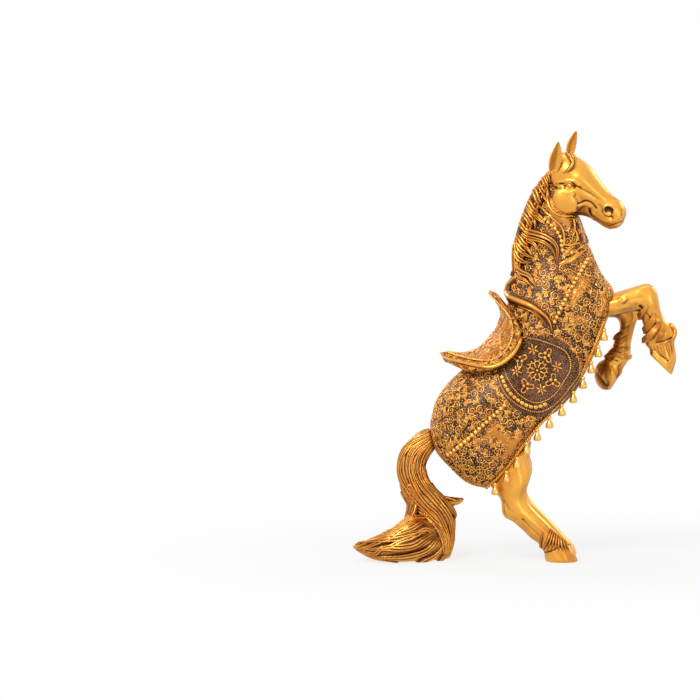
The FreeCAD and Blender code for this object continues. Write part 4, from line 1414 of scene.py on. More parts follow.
@dataclass
class Head:
    """Head with eyes, nostrils and mouth, the same on both of its own sides."""

    voxel: float = 0.5
    passes: int = 42
    turn: float = -24.0
    roll: float = 15.0
    pitch: float = 38.0
    grooves: Strokes = (
        (((589, 211.5), (591.3, 216), (599.7, 222.5), (607.3, 226), (615, 224.6), (622, 221.5)),
         0.75, -1.0, -0.55),
        (((589.5, 209.5), (590, 213)), 1.1, -0.7, -0.5),
        (((552.0, 184), (554.5, 187.5), (560, 188)), 1.3, -0.6, -0.25),
        (((560, 183.4), (564, 184.6), (565, 187.5)), 0.9, -0.9, -0.6),
        (((572.5, 184.5), (574.4, 187)), 1.5, -0.9, -0.6),
        (((575.5, 186), (580.5, 187.8)), 0.7, -0.5, -0.4),
        (((575, 190), (575.4, 195.5)), 0.8, -0.3, -0.15),
        (((574, 197), (578, 203), (577.5, 209)), 1.6, -0.6, -0.15),
        (((581, 189), (590, 193.5), (600, 200)), 1.6, -0.5, -0.1),
        (((579, 204), (586, 201), (592, 203), (596, 208)), 1.2, -0.6, -0.15),
        (((596.5, 202), (601, 207), (602.5, 212)), 1.6, -0.5, -0.08),
        (((621.5, 210), (621.8, 215)), 1.0, -0.4, -0.3))
    ridges: Strokes = (
        (((557.6, 182.4), (562, 182), (568.5, 180.6), (574.4, 181.7), (578, 184.5)), 1.3, 0.9, 0.2),
        (((579, 177), (586, 183), (594, 190), (602, 198)), 3.0, 0.8, 0.15),
        (((577, 192), (586, 196), (597, 203)), 2.6, 0.5, 0.1),
        (((579, 205.5), (585, 204.2), (591, 206.5)), 1.6, 0.55, 0.15),
        (((563, 192), (569, 193.2), (574, 191)), 1.4, 0.35, 0.1),
        (((592.5, 218.5), (600, 225.5), (607.5, 228.8), (614, 227.5)), 1.1, 0.5, 0.1),
        (((593, 213.5), (601, 219.5), (608, 222.3), (616, 220.5)), 1.5, 0.4, 0.1),
        (((552.5, 204), (558, 211), (566, 212.6), (574, 210.5)), 2.4, 0.4, 0.05),
        (((567, 171), (572, 174), (575, 179)), 2.6, 0.5, 0.1))
    cheek_front: tuple[float, float] = (580.5, 198.0)
    cheek_rear: tuple[float, float] = (555.0, 200.5)
    cheek_inner: tuple[float, float] = (563.5, 197.0)
    cheek_proud: float = 2.2
    cheek_depth: float = 6.0
    cheek_sunk: float = 0.53
    cheek_shown: float = 0.85
    upper_lid: Pixels = ((563.3, 185.6), (566, 183.4), (570, 182.4), (573.8, 184.6))
    lower_lid: Pixels = ((564, 186.4), (567, 189), (571, 189.6), (574.6, 187))
    nostril: tuple[float, float] = (608.9, 210.3)
    eye: tuple[float, float] = (569.4, 185.6)
    across: Array = field(init=False)
    plane: float = field(init=False)

    def cheek(self, rear: Array, front: Array) -> Array:
        """Ellipsoid that swells between two places on the side of the head.

        Args:
            rear: The back edge of the cheek.
            front: Where it runs out into the face.

        Returns:
            Its centre and its three half axes.
        """
        along = unit(front - rear)
        up = unit(np.array([0, 0, 1.0]) - along[2] * along)
        out = np.cross(along, up)
        wide = np.linalg.norm(front - rear) / 2 / self.cheek_shown
        centre = (rear + front) / 2 - out * self.cheek_sunk * self.cheek_depth
        return np.vstack([centre, along * wide, up * wide, out * self.cheek_depth])

    def other(self, points: Array) -> Array:
        """The same places on the head's other side."""
        return points - 2 * ((points @ self.across) - self.plane)[..., None] * self.across

    def build(self) -> None:
        """Skins and works the head, and sets its eyes."""
        t, r = math.radians(self.turn), math.radians(self.roll)
        self.across = np.array([-math.sin(t) * math.cos(r), math.cos(t) * math.cos(r), math.sin(r)])
        reach = joined("head")[0] @ self.across
        self.plane = float((reach.min() + reach.max()) / 2)
        head, neck = Skin(*joined("head")), Skin(*joined("neck"))
        front = head.seen(*self.cheek_front)[0]
        rear, outward = neck.seen(*self.cheek_rear)
        near = self.cheek(rear + outward * self.cheek_proud, front)
        far = self.cheek(head.seen(*self.cheek_inner)[0], front)
        far = np.vstack([self.other(far[0]),
                         far[1:] - 2 * (far[1:] @ self.across)[:, None] * self.across])
        clay = Clay(["head", "head_dowel"], self.voxel, self.passes, [near, far])
        skin = clay.skin()
        for pixels, width, height, tone in self.ridges + self.grooves:
            path, _ = skin.line(pixels, 0.8)
            for line in (path, self.other(path)):
                clay.stroke(line, width, height, tone)
        self.nostrils(clay, skin)
        clay.relax(1, 0.5)
        # Antique wash in the creases, painted shade in broad hollows and on what faces down.
        clay.patina_and_shade(1.6)
        clay.piece("head_casting", SATIN)
        self.eyes(skin)

    def nostrils(self, clay: Clay, skin: Skin) -> None:
        """Opens the nostrils inside their raised rims.

        Args:
            clay: The head's casting.
            skin: Its surface before it was worked.
        """
        x, y = self.nostril
        turn = np.linspace(0, 2 * math.pi, 15)
        ring, _ = skin.line([(x + 4.9 * math.cos(t), y + 4.7 * math.sin(t)) for t in turn], 0.6)
        hole, _ = skin.line([(x - 1.6, y - 0.6), (x + 0.2, y + 0.2), (x + 1.8, y + 1.0)], 0.5)
        for side in (lambda p: p, self.other):
            clay.stroke(side(ring), 1.0, 1.0, 0.15)
            clay.stroke(side(hole), 2.3, -2.6, -0.95)

    def eyes(self, skin: Skin) -> None:
        """Sets the eyeballs and their lids.

        Args:
            skin: Surface of the head.
        """
        place, normal = skin.seen(*self.eye)
        relief = Relief()
        lids = ((*skin.line(self.upper_lid, 0.5, 0.5), 1.3),
                (*skin.line(self.lower_lid, 0.5, 0.2), 1.0))
        for side in (lambda p: p, self.other):
            centre = side(place)
            out = unit(side(place + normal) - centre)
            relief.bead(centre - out * 0.9, out, 2.5, 0.95, dome(16, 6))
            for path, normals, width in lids:
                relief.sweep(side(path), side(path + normals) - side(path),
                             taper(len(path), 0.4, width, 0.4, 0.5), width, WIRE)
        relief.piece("eyes", SATIN)


def cup_section(steps: int = 10) -> SectionTable:
    """Section of an ear: a thick leaf whose hollow is dark, and its tones.

    Args:
        steps: How many steps each face has.

    Returns:
        Outline and tones.
    """
    across = np.linspace(0.5, -0.5, steps)
    crown = 1 - (2 * across) ** 2
    inside = np.stack([across * 0.94, 0.12 - 0.42 * crown], axis=1)
    outside = np.stack([-across, 0.0 - 0.62 * np.sqrt(crown + 0.02)], axis=1)
    tones = np.concatenate([1 - 0.6 * crown ** 4, 0.75 + 0.2 * crown])
    return np.concatenate([inside, outside]), tones


@dataclass(frozen=True)
class Ear:
    """One cupped ear: its line from base to tip in the photograph, and where it opens."""

    node: str
    line: Pixels
    opens: tuple[float, float, float]
    width: float
    depth: float
    sample: int = 60

    def build(self) -> None:
        """Sweeps the ear from its base to its tip."""
        solid = joined(self.node)[0]
        solid = solid[np.argsort(solid[:, 2])]
        base, tip = solid[:self.sample, 1].mean(), solid[-3:, 1].mean()
        eye = SIGHT.eye()
        line = spline(np.array(self.line), 24)
        share = np.linspace(0, 1, len(line))
        path = np.array([eye + ray * (base + (tip - base) * w - eye[1]) / ray[1]
                         for ray, w in zip((SIGHT.ray(*pixel) for pixel in line), share)])
        widths = taper(len(path), self.width * 0.62, self.width, 1.0, 0.38)
        relief = Relief()
        relief.sweep(path, np.tile(unit(np.array(self.opens)), (len(path), 1)), widths,
                     taper(len(path), self.depth, self.depth, 0.5, 0.4), cup_section())
        relief.piece(self.node + "_cast", SATIN, self.node)


EARS = (Ear("ear_right", ((553.5, 171), (555, 163), (557, 152), (558.3, 142)),
            (0.3, -0.93, 0.1), 11.0, 6.5),
        Ear("ear_left", ((570.5, 155), (571, 148), (573.5, 139), (576.2, 131.3)),
            (0.55, -0.8, 0.1), 8.8, 6.0))


# Hair.


@dataclass
class Mane:
    """Crest and locks of the mane, and the forelock."""

    locks: tuple[Lock, ...] = (
        Lock(((549, 160), (550.5, 167), (552, 177)), 3.2, 0.5),
        Lock(((547, 165), (548, 174), (549.8, 185)), 3.4, 0.6),
        Lock(((543, 170), (544.5, 179), (547.5, 189), (549.5, 197)), 4.2, 0.7),
        Lock(((539, 177), (541, 187), (545, 197), (548, 203)), 4.0, 0.7),
        Lock(((535, 182), (536.5, 192), (539, 202), (541, 209)), 5.2, 0.8),
        Lock(((531, 189), (530.5, 198), (533, 208), (538, 214), (546, 221)), 4.6, 0.8),
        Lock(((527, 197), (529, 207), (535, 215), (543, 222), (550, 227)), 3.6, 0.8),
        Lock(((524, 204), (525, 213), (529.5, 221), (531.5, 230)), 4.2, 0.8),
        Lock(((527, 206), (532, 215), (536.5, 223), (535, 231)), 3.8, 0.9),
        Lock(((521, 212), (522, 222), (526, 230), (529, 236)), 4.4, 0.8),
        Lock(((521.5, 224), (527, 231), (540, 234.5), (551.5, 240), (557.5, 249), (556.6, 265)),
             4.8, 1.1, tip=0.05),
        Lock(((519.5, 229), (526, 237), (538, 240), (548, 244.5), (554, 252), (555.5, 262)),
             3.4, 0.8),
        Lock(((518, 232), (523, 242), (529, 249), (533, 256)), 4.6, 0.8),
        Lock(((524, 240), (534, 243), (539, 250), (540, 256)), 3.2, 0.7),
        Lock(((516.5, 238), (520, 248), (527, 255), (534, 258)), 4.2, 0.8),
        Lock(((515.5, 247), (517.5, 256), (524, 262), (532, 262.5)), 4.2, 0.7),
        Lock(((515, 262), (520.5, 271), (529.5, 277), (535, 284), (537, 291)), 4.6, 1.0, tip=0.05),
        Lock(((514.5, 269), (519, 277), (527, 281), (532, 287)), 3.4, 0.8),
        Lock(((518, 276), (512.5, 282), (509, 290), (511.5, 297), (521, 301.5), (533.5, 307.2),
              (545.5, 316), (550.5, 324), (552.3, 333)), 6.4, 1.4, 0.5, 2, 0.45, 0.5, 0.04),
        Lock(((512, 299), (520, 305), (531, 310), (541, 318), (546, 326)), 3.2, 0.8))
    parting: Pixels = ((549, 161), (541, 172), (532, 187), (525, 204), (520.5, 222), (518, 240),
                       (516.5, 262), (517, 279))
    underlay: Pixels = ((550, 170), (545, 182), (538.5, 197), (532, 212), (527, 228), (523.5, 244),
                        (521.5, 258))
    fullness: float = 1.4
    forelock: tuple[Lock, ...] = (
        Lock(((566, 153), (569, 157), (573, 161), (571, 167), (566, 171), (563, 174)), 5.0, 0.8,
             0.5, 2, 0.4, 0.5, 0.1),
        Lock(((571, 152), (574, 157), (574.5, 163), (570, 169)), 3.4, 0.5))

    def build(self, neck: Skin, crown: Skin) -> Array:
        """Lays the mane on the neck and the forelock on the brow.

        Args:
            neck: Surface of neck and torso, not used.
            crown: Surface of forelock and head.

        Returns:
            Points that the filigree keeps clear of.
        """
        crest = Clay(["mane_crest"], 0.7, 8, tone=0.3)
        crest.piece("mane_crest_casting", HAIR)
        base = Skin(*joined("torso", "neck", "mane_crest"))
        relief = Relief()
        Lock(self.parting, 11.0, -0.6, 0.4, 5, 0.5, 0.6, 0.5).lay(relief, base)
        Lock(self.underlay, 10.0, -0.5, 0.3, 4, 0.5, 0.6, 0.4).lay(relief, base)
        for lock in self.locks:
            replace(lock, width=lock.width * self.fullness, lift=lock.lift + 0.3).lay(relief, base)
        relief.pair("mane_locks_cast", HAIR, "mane_locks")
        taken = np.concatenate(relief.points)[::4]
        brow = Relief()
        for lock in self.forelock:
            lock.lay(brow, crown)
        brow.piece("forelock_cast", SATIN, "forelock")
        return taken


def joined(*nodes: str, size: float = MM) -> tuple[Array, list[tuple[int, ...]]]:
    """Points and faces of some CAD nodes taken together.

    Args:
        *nodes: Names of the nodes.
        size: What the points are measured in, in metres.

    Returns:
        Points and faces.
    """
    points, faces = [], []
    for node in nodes:
        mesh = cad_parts[node].data
        base = len(points)
        points += [tuple(v.co / size) for v in mesh.vertices]
        faces += [tuple(base + k for k in p.vertices) for p in mesh.polygons]
    return np.array(points), faces


@dataclass
class Tail:
    """Tail of heavy locks that falls to the ground and spreads into a fan."""

    locks: tuple[Lock, ...] = (
        Lock(((424, 516), (412, 519), (404, 525), (396, 531), (380, 536), (368, 539)), 6.4, 1.2,
             0.45, 3, tip=0.05),
        Lock(((436, 526), (422, 524), (408, 530), (394, 536), (374, 541)), 6.8, 1.0, 0.45, 4,
             tip=0.05),
        Lock(((440, 497), (449, 499), (456, 500.5), (460.5, 500.8)), 4.0, 0.5, 0.5, 2, tip=0.1),
        Lock(((418, 514), (409, 524), (398, 532), (380, 536), (367, 540), (354, 543)), 7.0, 0.8,
             0.45, 4, tip=0.04),
        Lock(((429, 528), (412, 535), (390, 540), (370, 543), (353, 543)), 7.4, 0.9, 0.45, 4,
             tip=0.04),
        Lock(((434, 533), (418, 543), (398, 548), (378, 550), (360, 549)), 7.6, 0.9, 0.45, 4,
             tip=0.04),
        Lock(((439, 538), (426, 550), (408, 556), (388, 557), (370, 555)), 7.6, 0.8, 0.45, 4,
             tip=0.05),
        Lock(((444, 544), (434, 556), (418, 561), (398, 562), (382, 560)), 6.8, 0.6, 0.45, 3,
             tip=0.05),
        Lock(((450, 548), (443, 557), (432, 561.5), (416, 563)), 5.4, 0.5, 0.45, 3, tip=0.05))
    outer_edge: Pixels = ((430, 431), (404, 446), (397, 468), (403, 488), (413, 504), (428, 519),
                          (440, 537), (444, 557))
    inner_edge: Pixels = ((434.5, 446), (427, 458), (424.5, 470), (430, 484), (444, 499),
                          (455, 516), (455.5, 538), (449, 557))
    strands: int = 8
    strand_width: float = 6.6
    reach: float = 7.0

    def fall(self) -> tuple[Lock, ...]:
        """Locks that run from the dock to the ground, between the two edges of the tail.

        Returns:
            The locks, from the outer edge to the inner one.
        """
        outer, inner = np.array(self.outer_edge), np.array(self.inner_edge)
        locks = []
        for k, share in enumerate(np.linspace(0.06, 0.94, self.strands)):
            swing = np.sin(np.linspace(0, math.pi, len(outer)) * 2 + k * 2.1) * 0.05
            line = outer + (inner - outer) * np.clip(share + swing, 0.03, 0.97)[:, None]
            locks.append(Lock(tuple(map(tuple, line)), self.strand_width, 0.5 + 0.7 * (k % 2), 0.42,
                              3 + k % 2, 0.5, 0.6, 0.5))
        return tuple(locks)

    def build(self) -> None:
        """Skins the CAD tail and lays its locks on both faces."""
        core = Clay(["tail_fall", "tail_fan", "tail_flick", "tail_dowel"], 1.1, 16, tone=0.4)
        skin = core.skin()
        core.hollow_wash_and_shade(1.0, 6)
        core.piece("tail_core", HAIR)
        relief = Relief()
        for behind in (False, True):
            for lock in self.locks + self.fall():
                lock.lay(relief, skin, behind)
        self.spread(relief, skin)
        relief.ground()
        relief.piece("tail_locks", HAIR)

    def spread(self, relief: Relief, skin: Skin) -> None:
        """Lays locks over the fan as it is seen from above.

        Args:
            relief: The raised work.
            skin: Surface of the tail.
        """
        points = joined("tail_fan")[0]
        low, high = box_mm("tail_fan")
        places = np.linspace(high[0] - 16, low[0] + 3, 12)
        for share in np.linspace(-0.86, 0.86, 9):
            path = []
            for x in places:
                near = points[np.abs(points[:, 0] - x) < self.reach, 1]
                y = near.mean() + share * np.ptp(near) / 2
                hit = skin.tree.ray_cast(Vector((x, y, high[2] + 40)), Vector((0, 0, -1)))[0]
                path.append(np.array(hit) if hit else skin.near(np.array([x, y, 8.0]))[0])
            path = even(spline(np.array(path), 60), 1.0)
            Lock((), 6.6, 0.8, 0.42, 3, 0.4, 0.6, 0.1).shape(relief, *skin.laid(path))


# Saddle.


@dataclass
class Saddle:
    """Saddle of two rising wings, with corded and beaded rims."""

    rim: Pixels = ((485.6, 284.9), (490.8, 290), (507.4, 303.3), (516.5, 317.4), (520.6, 329),
                   (519.8, 339.8), (513.2, 353), (501.6, 363), (488.3, 367), (471.5, 365.5),
                   (457.4, 362), (446.6, 357.8), (441.6, 352.8))
    bead_line: Pixels = ((486.5, 289.5), (495, 298.5), (503, 307), (510.5, 317), (513.4, 328),
                         (513, 337), (508.5, 347.5), (499, 357.5), (487.5, 361), (471.5, 359.6),
                         (458, 356.5), (447, 352.8))
    band: Pixels = ((502, 303), (507, 315), (507.5, 329), (504, 341), (496, 351), (484, 355.5),
                    (470, 356), (456, 354))

    def build(self) -> None:
        """Skins the saddle and trims it."""
        clay = Clay(["saddle"], 0.75, 16, tone=0.4)
        skin = clay.skin()
        band, _ = skin.line(self.band, 1.0)
        for line in both_sides(band):
            clay.stroke(line, 2.6, 0.35, 0.6)
        clay.piece("saddle_casting", SEAT)
        rim = Relief()
        path, normals = eased(*skin.line(self.rim, 0.8, 0.5), 6, 20)
        rim.sweep(path, normals, taper(len(path), 1.4, 3.2, 1.4, 0.5), 2.8, round_section(10))
        rim.pair("saddle_rim_cord", PIPING, "saddle_rim")
        beads = Relief()
        path, normals = skin.line(self.bead_line, 1.95)
        beads.string(path + normals * 0.6, normals, 1.0, 1.1)
        beads.pair("saddle_rim_beads", BEADS)
        keep_off = np.concatenate([path, skin.line(self.rim, 1.5)[0], band])
        Filigree(pitch=4.5, size=0.8, wire=0.9, seed=3, regions={"saddle": lambda p: True}).build(
            clay, skin, Skin(*joined("saddle_rim_right")), keep_off)


@dataclass
class Medallion:
    """Oval saddle cloth with beaded borders, tiles, rosette and flower heads."""

    outer: Pixels = ((521.5, 331.5), (538, 331), (553, 334.8), (566.2, 342.2), (575.4, 352.2),
                     (579.5, 364.6), (578.7, 374.6), (571.2, 385.4), (562.9, 396), (550.5, 407.7),
                     (538, 411.9), (525.6, 409.4), (513.2, 401.9), (504, 392), (499, 379.6))
    inner: Pixels = ((521.5, 337.3), (538, 339.8), (554.6, 345.6), (565.4, 351.4), (570.4, 361.3),
                     (569.6, 371.3), (562.9, 382.9), (556.3, 392.8), (546.3, 400.3), (536.4, 402.8),
                     (526.4, 399.5), (515.7, 391.2), (508.2, 379.6), (504, 368.8))
    centre: tuple[float, float] = (537.2, 370.4)
    ball_clusters: Pixels = ((519.8, 359.7), (546.3, 355.5), (553, 381.2), (526.4, 386.2))
    flowers: Pixels = ((533, 349.7), (516.5, 371.3), (557, 367), (541.4, 389.5))
    tiles: Pixels = ((502, 377), (505.5, 386), (511, 394), (518.5, 400.5), (527, 405.5),
                     (536, 407.3), (545, 404.5))
    seam: float = 0.8
    least_rise: float = 0.1
    least_facing: float = 0.2
    grain_pitch: float = 1.9
    grain_berth: float = 1.5

    def build(self, body: Clay) -> None:
        """Skins the cloth and lays its ornament on both sides.

        Args:
            body: The casting that carries the cloth.
        """
        for side in (Side.LEFT, Side.RIGHT):
            clay = Clay(["saddle_cloth_" + side.value], 0.6, 12, tone=0.3)
            clay.piece(f"saddle_cloth_{side.value}_casting", BARDING)
        skin = clay.skin(body)
        work = Relief()
        for pixels in (self.outer, self.inner):
            work.string(*skin.line(pixels, 1.75), 0.82)
        self.tile_row(work, skin)
        self.rosette(work, skin)
        for px, py in self.ball_clusters:
            self.cluster(work, skin, px, py)
        for px, py in self.flowers:
            self.flower(work, skin, px, py)
        self.stipple(work, clay, body)
        work.pair("medallion", FILIGREE)

    def stipple(self, work: Relief, clay: Clay, body: Clay) -> None:
        """Fills what is left of the cloth with fine grains.

        Args:
            work: Ornament, which this adds to.
            clay: The right cloth's casting.
            body: The casting that carries it.
        """
        rng = np.random.default_rng(5)
        normals = clay.normals()
        laid = np.concatenate(work.points)
        under = body.skin()
        grains = np.zeros((0, 3))
        for k in rng.permutation(len(clay.points)):
            point = clay.points[k]
            place, out = under.near(point)
            if point[1] > MEDIAN_Y - self.seam or (point - place) @ out < self.least_rise:
                continue
            if normals[k] @ out < self.least_facing:
                continue
            if len(grains) and np.abs(grains - point).sum(1).min() < self.grain_pitch:
                continue
            if np.abs(laid - point).sum(1).min() < self.grain_berth:
                continue
            grains = np.vstack([grains, point])
            work.bead(point, normals[k], rng.uniform(0.35, 0.55), 0.9, GRAIN, 0.7)

    def tile_row(self, work: Relief, skin: Skin) -> None:
        """Sets square tiles in the lower border.

        Args:
            work: Ornament, which this adds to.
            skin: Surface of the cloth.
        """
        path, normals = skin.line(self.tiles, 4.2)
        along = unit(np.gradient(path, axis=0))
        for place, normal, way in zip(path, normals, along):
            run = place + way * np.linspace(-1.7, 1.7, 5)[:, None]
            work.sweep(run, np.tile(normal, (5, 1)), [2.6, 3.5, 3.6, 3.5, 2.6], 1.5,
                       round_section(8))

    def rosette(self, work: Relief, skin: Skin) -> None:
        """Builds the flower in the middle.

        Args:
            work: Ornament, which this adds to.
            skin: Surface of the cloth.
        """
        x, y = self.centre
        place, normal = skin.seen(x, y)
        work.bead(place, normal, 1.3, 1.0, dome(10, 4))
        for reach, count, size in ((3.4, 8, 0.7), (10.4, 16, 0.9)):
            for k in range(count):
                turn = 2 * math.pi * (k + 0.5) / count
                place, normal = skin.seen(*around(x, y, reach, turn))
                work.bead(place, normal, size, 1.0, GRAIN)
        for k in range(8):
            turn = 2 * math.pi * k / 8
            loop = [around(*around(x, y, 6.6, turn), 2.7, t)
                    for t in np.linspace(turn + 3.6, turn + 3.6 + 5.6, 9)]
            path, normals = skin.line(loop, 0.6)
            work.sweep(path, normals, 1.1, 1.0, FINE_WIRE)

    def cluster(self, work: Relief, skin: Skin, x: float, y: float) -> None:
        """Builds three balls between curling leaves.

        Args:
            work: Ornament, which this adds to.
            skin: Surface of the cloth.
            x: Column of its middle.
            y: Row of its middle.
        """
        out = math.atan2(y - self.centre[1], x - self.centre[0])
        for k in range(3):
            turn = out + math.pi + 2 * math.pi * k / 3
            place, normal = skin.seen(*around(x, y, 2.6, turn))
            work.bead(place, normal, 1.75, 1.1, dome(12, 4))
        for k in range(6):
            turn, sign = out + math.pi / 3 * (k + 0.5), 1 if k % 2 else -1
            leaf = [around(x, y, r, turn + sign * w)
                    for r, w in ((3.4, 0.0), (5.2, 0.1), (7.2, 0.3), (7.6, 0.62), (6.4, 0.72))]
            path, normals = skin.line(leaf, 0.6)
            work.sweep(path, normals, taper(len(path), 0.8, 1.35, 0.5), 1.0, FINE_WIRE)

    def flower(self, work: Relief, skin: Skin, x: float, y: float) -> None:
        """Builds a star of pointed petals.

        Args:
            work: Ornament, which this adds to.
            skin: Surface of the cloth.
            x: Column of its middle.
            y: Row of its middle.
        """
        place, normal = skin.seen(x, y)
        work.bead(place, normal, 1.0, 1.0, dome(8, 3))
        for k in range(6):
            turn = 2 * math.pi * k / 6 + 0.3
            line = [around(x, y, r, turn) for r in (1.4, 3.4, 6.0)]
            path, normals = skin.line(line, 0.55)
            work.sweep(path, normals, taper(len(path), 0.7, 2.0, 0.3), 1.1, FINE_WIRE)


# Legs.


@dataclass
class Leg:
    """One leg with its hoof in one casting, and the feather above the hoof."""

    name: str
    nodes: tuple[str, str]
    grooves: Strokes = ()
    ridges: Strokes = ()
    locks: tuple[Lock, ...] = ()
    lumps: tuple[tuple[tuple[float, float], tuple[float, float, float]], ...] = ()
    lump_turn: float = 0.0
    voxel: float = 0.6
    passes: int = 12

    def build(self, shift: float = 0.0) -> None:
        """Skins, works and dresses the leg.

        Args:
            shift: Pixels by which the photograph's lines move for this leg.
        """
        low, high = box_mm(self.nodes[1])
        eye = SIGHT.eye()
        lumps = []
        for pixel, halves in self.lumps:
            ray = SIGHT.ray(*pixel)
            centre = eye + ray * ((low[1] + high[1]) / 2 - eye[1]) / ray[1]
            turn = math.radians(self.lump_turn)
            axes = np.array([[math.cos(turn), math.sin(turn), 0], [0, 0, 1],
                             [math.sin(turn), -math.cos(turn), 0]])
            lumps.append(np.vstack([centre, axes * np.array(halves)[:, None]]))
        clay = Clay([*self.nodes, self.nodes[0] + "_dowel"], self.voxel, self.passes, lumps)
        skin = clay.skin()
        for pixels, width, height, tone in self.ridges + self.grooves:
            for behind in (False, True):
                path, _ = skin.line([(x + shift, y) for x, y in pixels], 0.8, behind=behind)
                clay.stroke(path, width, height, tone)
        # Antique wash in the creases, painted shade in broad hollows and on what faces down.
        clay.patina_and_shade(1.4)
        clay.piece(self.name + "_casting", SATIN)
        if self.locks:
            relief = Relief()
            for lock in self.locks:
                moved = replace(lock, line=[(x + shift, y) for x, y in lock.line])
                for behind in (False, True):
                    moved.lay(relief, skin, behind)
            relief.ground()
            relief.piece(self.name + "_feather", SATIN)


RAISED = Leg(
    "foreleg_right", ("foreleg_right", "fore_hoof_right"),
    grooves=((((618, 307), (628, 304.5), (636, 304)), 1.8, -0.5, -0.1),
             (((624, 302), (632, 299), (640, 296)), 2.2, -0.6, -0.1),
             (((640, 306), (647, 314), (656, 325)), 1.2, -0.6, -0.25),
             (((655, 350), (661, 355), (668, 361)), 1.0, -0.5, -0.4),
             (((656, 343), (664, 341), (672, 338)), 1.1, -0.5, -0.2)),
    ridges=((((641, 290), (648, 286), (652, 292)), 4.0, 0.5, 0.1),
            (((648, 300), (655, 312), (663, 324)), 2.0, 0.4, 0.1),
            (((622.5, 295.5), (626, 298.5), (623, 301.5), (619.5, 299.5)), 1.4, 0.9, 0.1)),
    locks=(feather(((648, 306), (642, 315), (641, 322), (645, 329)), 6.4, 1.6, tip=0.15),
           feather(((655, 314), (651, 323), (646, 330), (640, 335)), 6.6, 1.8, tip=0.1),
           feather(((660, 322), (655, 331), (649, 338), (640, 344)), 6.8, 1.8),
           feather(((664, 329), (661, 336), (656, 342)), 4.6, 1.2),
           feather(((670, 325), (674, 331), (673, 338), (667, 343)), 4.2, 0.9),
           feather(((656, 345), (657, 350), (661, 357)), 3.2, 0.6, 0.6),
           feather(((661, 344), (663, 351), (667, 359)), 3.2, 0.7, 0.6),
           feather(((666, 343), (668, 350), (670, 357)), 3.0, 0.6, 0.6),
           feather(((671, 342), (672.5, 348), (672, 354)), 2.6, 0.5, 0.6)))
FOLDED = Leg(
    "foreleg_left", ("foreleg_left", "fore_hoof_left"),
    grooves=((((600, 364), (600.5, 375), (604.5, 386)), 5.4, 0.0, -0.38),
             (((605, 363), (606.6, 374), (607, 384)), 4.2, -0.3, -0.3),
             (((612.5, 356.5), (617, 352), (621, 348)), 1.6, -0.5, -0.3),
             (((603.5, 359), (610, 358.5), (617, 361)), 1.2, -0.5, -0.4)),
    ridges=((((607.6, 362), (611.4, 370), (612.4, 379), (609.6, 388)), 1.3, 0.7, 0.35),
            (((619, 305), (622, 315), (623, 325)), 3.0, 0.4, 0.05),
            (((616, 341), (621, 336), (626, 331)), 2.0, 0.6, 0.2)),
    locks=(feather(((629, 326), (624, 332), (618, 336), (614.6, 339)), 4.4, 0.9, 0.6, 0.2),
           feather(((627, 336), (622, 341), (617, 344), (614.5, 348)), 4.4, 1.0, 0.6, 0.2),
           feather(((630, 347), (622, 350), (614, 350), (608, 354)), 4.6, 1.0, 0.6, 0.2),
           feather(((631, 356), (624, 357), (615, 354), (605, 357)), 4.8, 1.0, 0.6, 0.2),
           feather(((619, 365), (620, 371), (617, 378)), 3.4, 0.7, 0.6, 0.2)),
    lumps=(((605.2, 374.8), (13.0, 13.2, 7.2)),), lump_turn=-60.0)
HIND = Leg(
    "hind_leg", ("hind_leg_right", "hind_hoof_right"),
    grooves=((((522.9, 520), (531, 528), (542.5, 539)), 1.6, -0.7, -0.12),
             (((541, 553), (552, 551), (564, 545), (571, 545)), 0.9, -0.5, -0.35),
             (((503, 500), (508, 508), (514, 513)), 1.2, -0.3, -0.15)),
    ridges=((((505, 490), (510, 500), (516, 508)), 4.0, 0.5, 0.1),
            (((520, 513), (532, 522), (545, 532)), 1.6, 0.4, 0.1)),
    locks=tuple(Lock(((551 + 1.6 * k, 529 + 1.5 * k), (548 + 2.6 * k, 540 + 0.9 * k),
                      (543.5 + 3.7 * k, 551.5 - abs(k - 4) * 0.3)),
                     2.9, 0.7, 0.55, 2, 0.35, 0.5, 0.15)
                for k in range(8)) + (
        Lock(((543, 532), (541, 540), (541.5, 551)), 2.6, 0.5),))


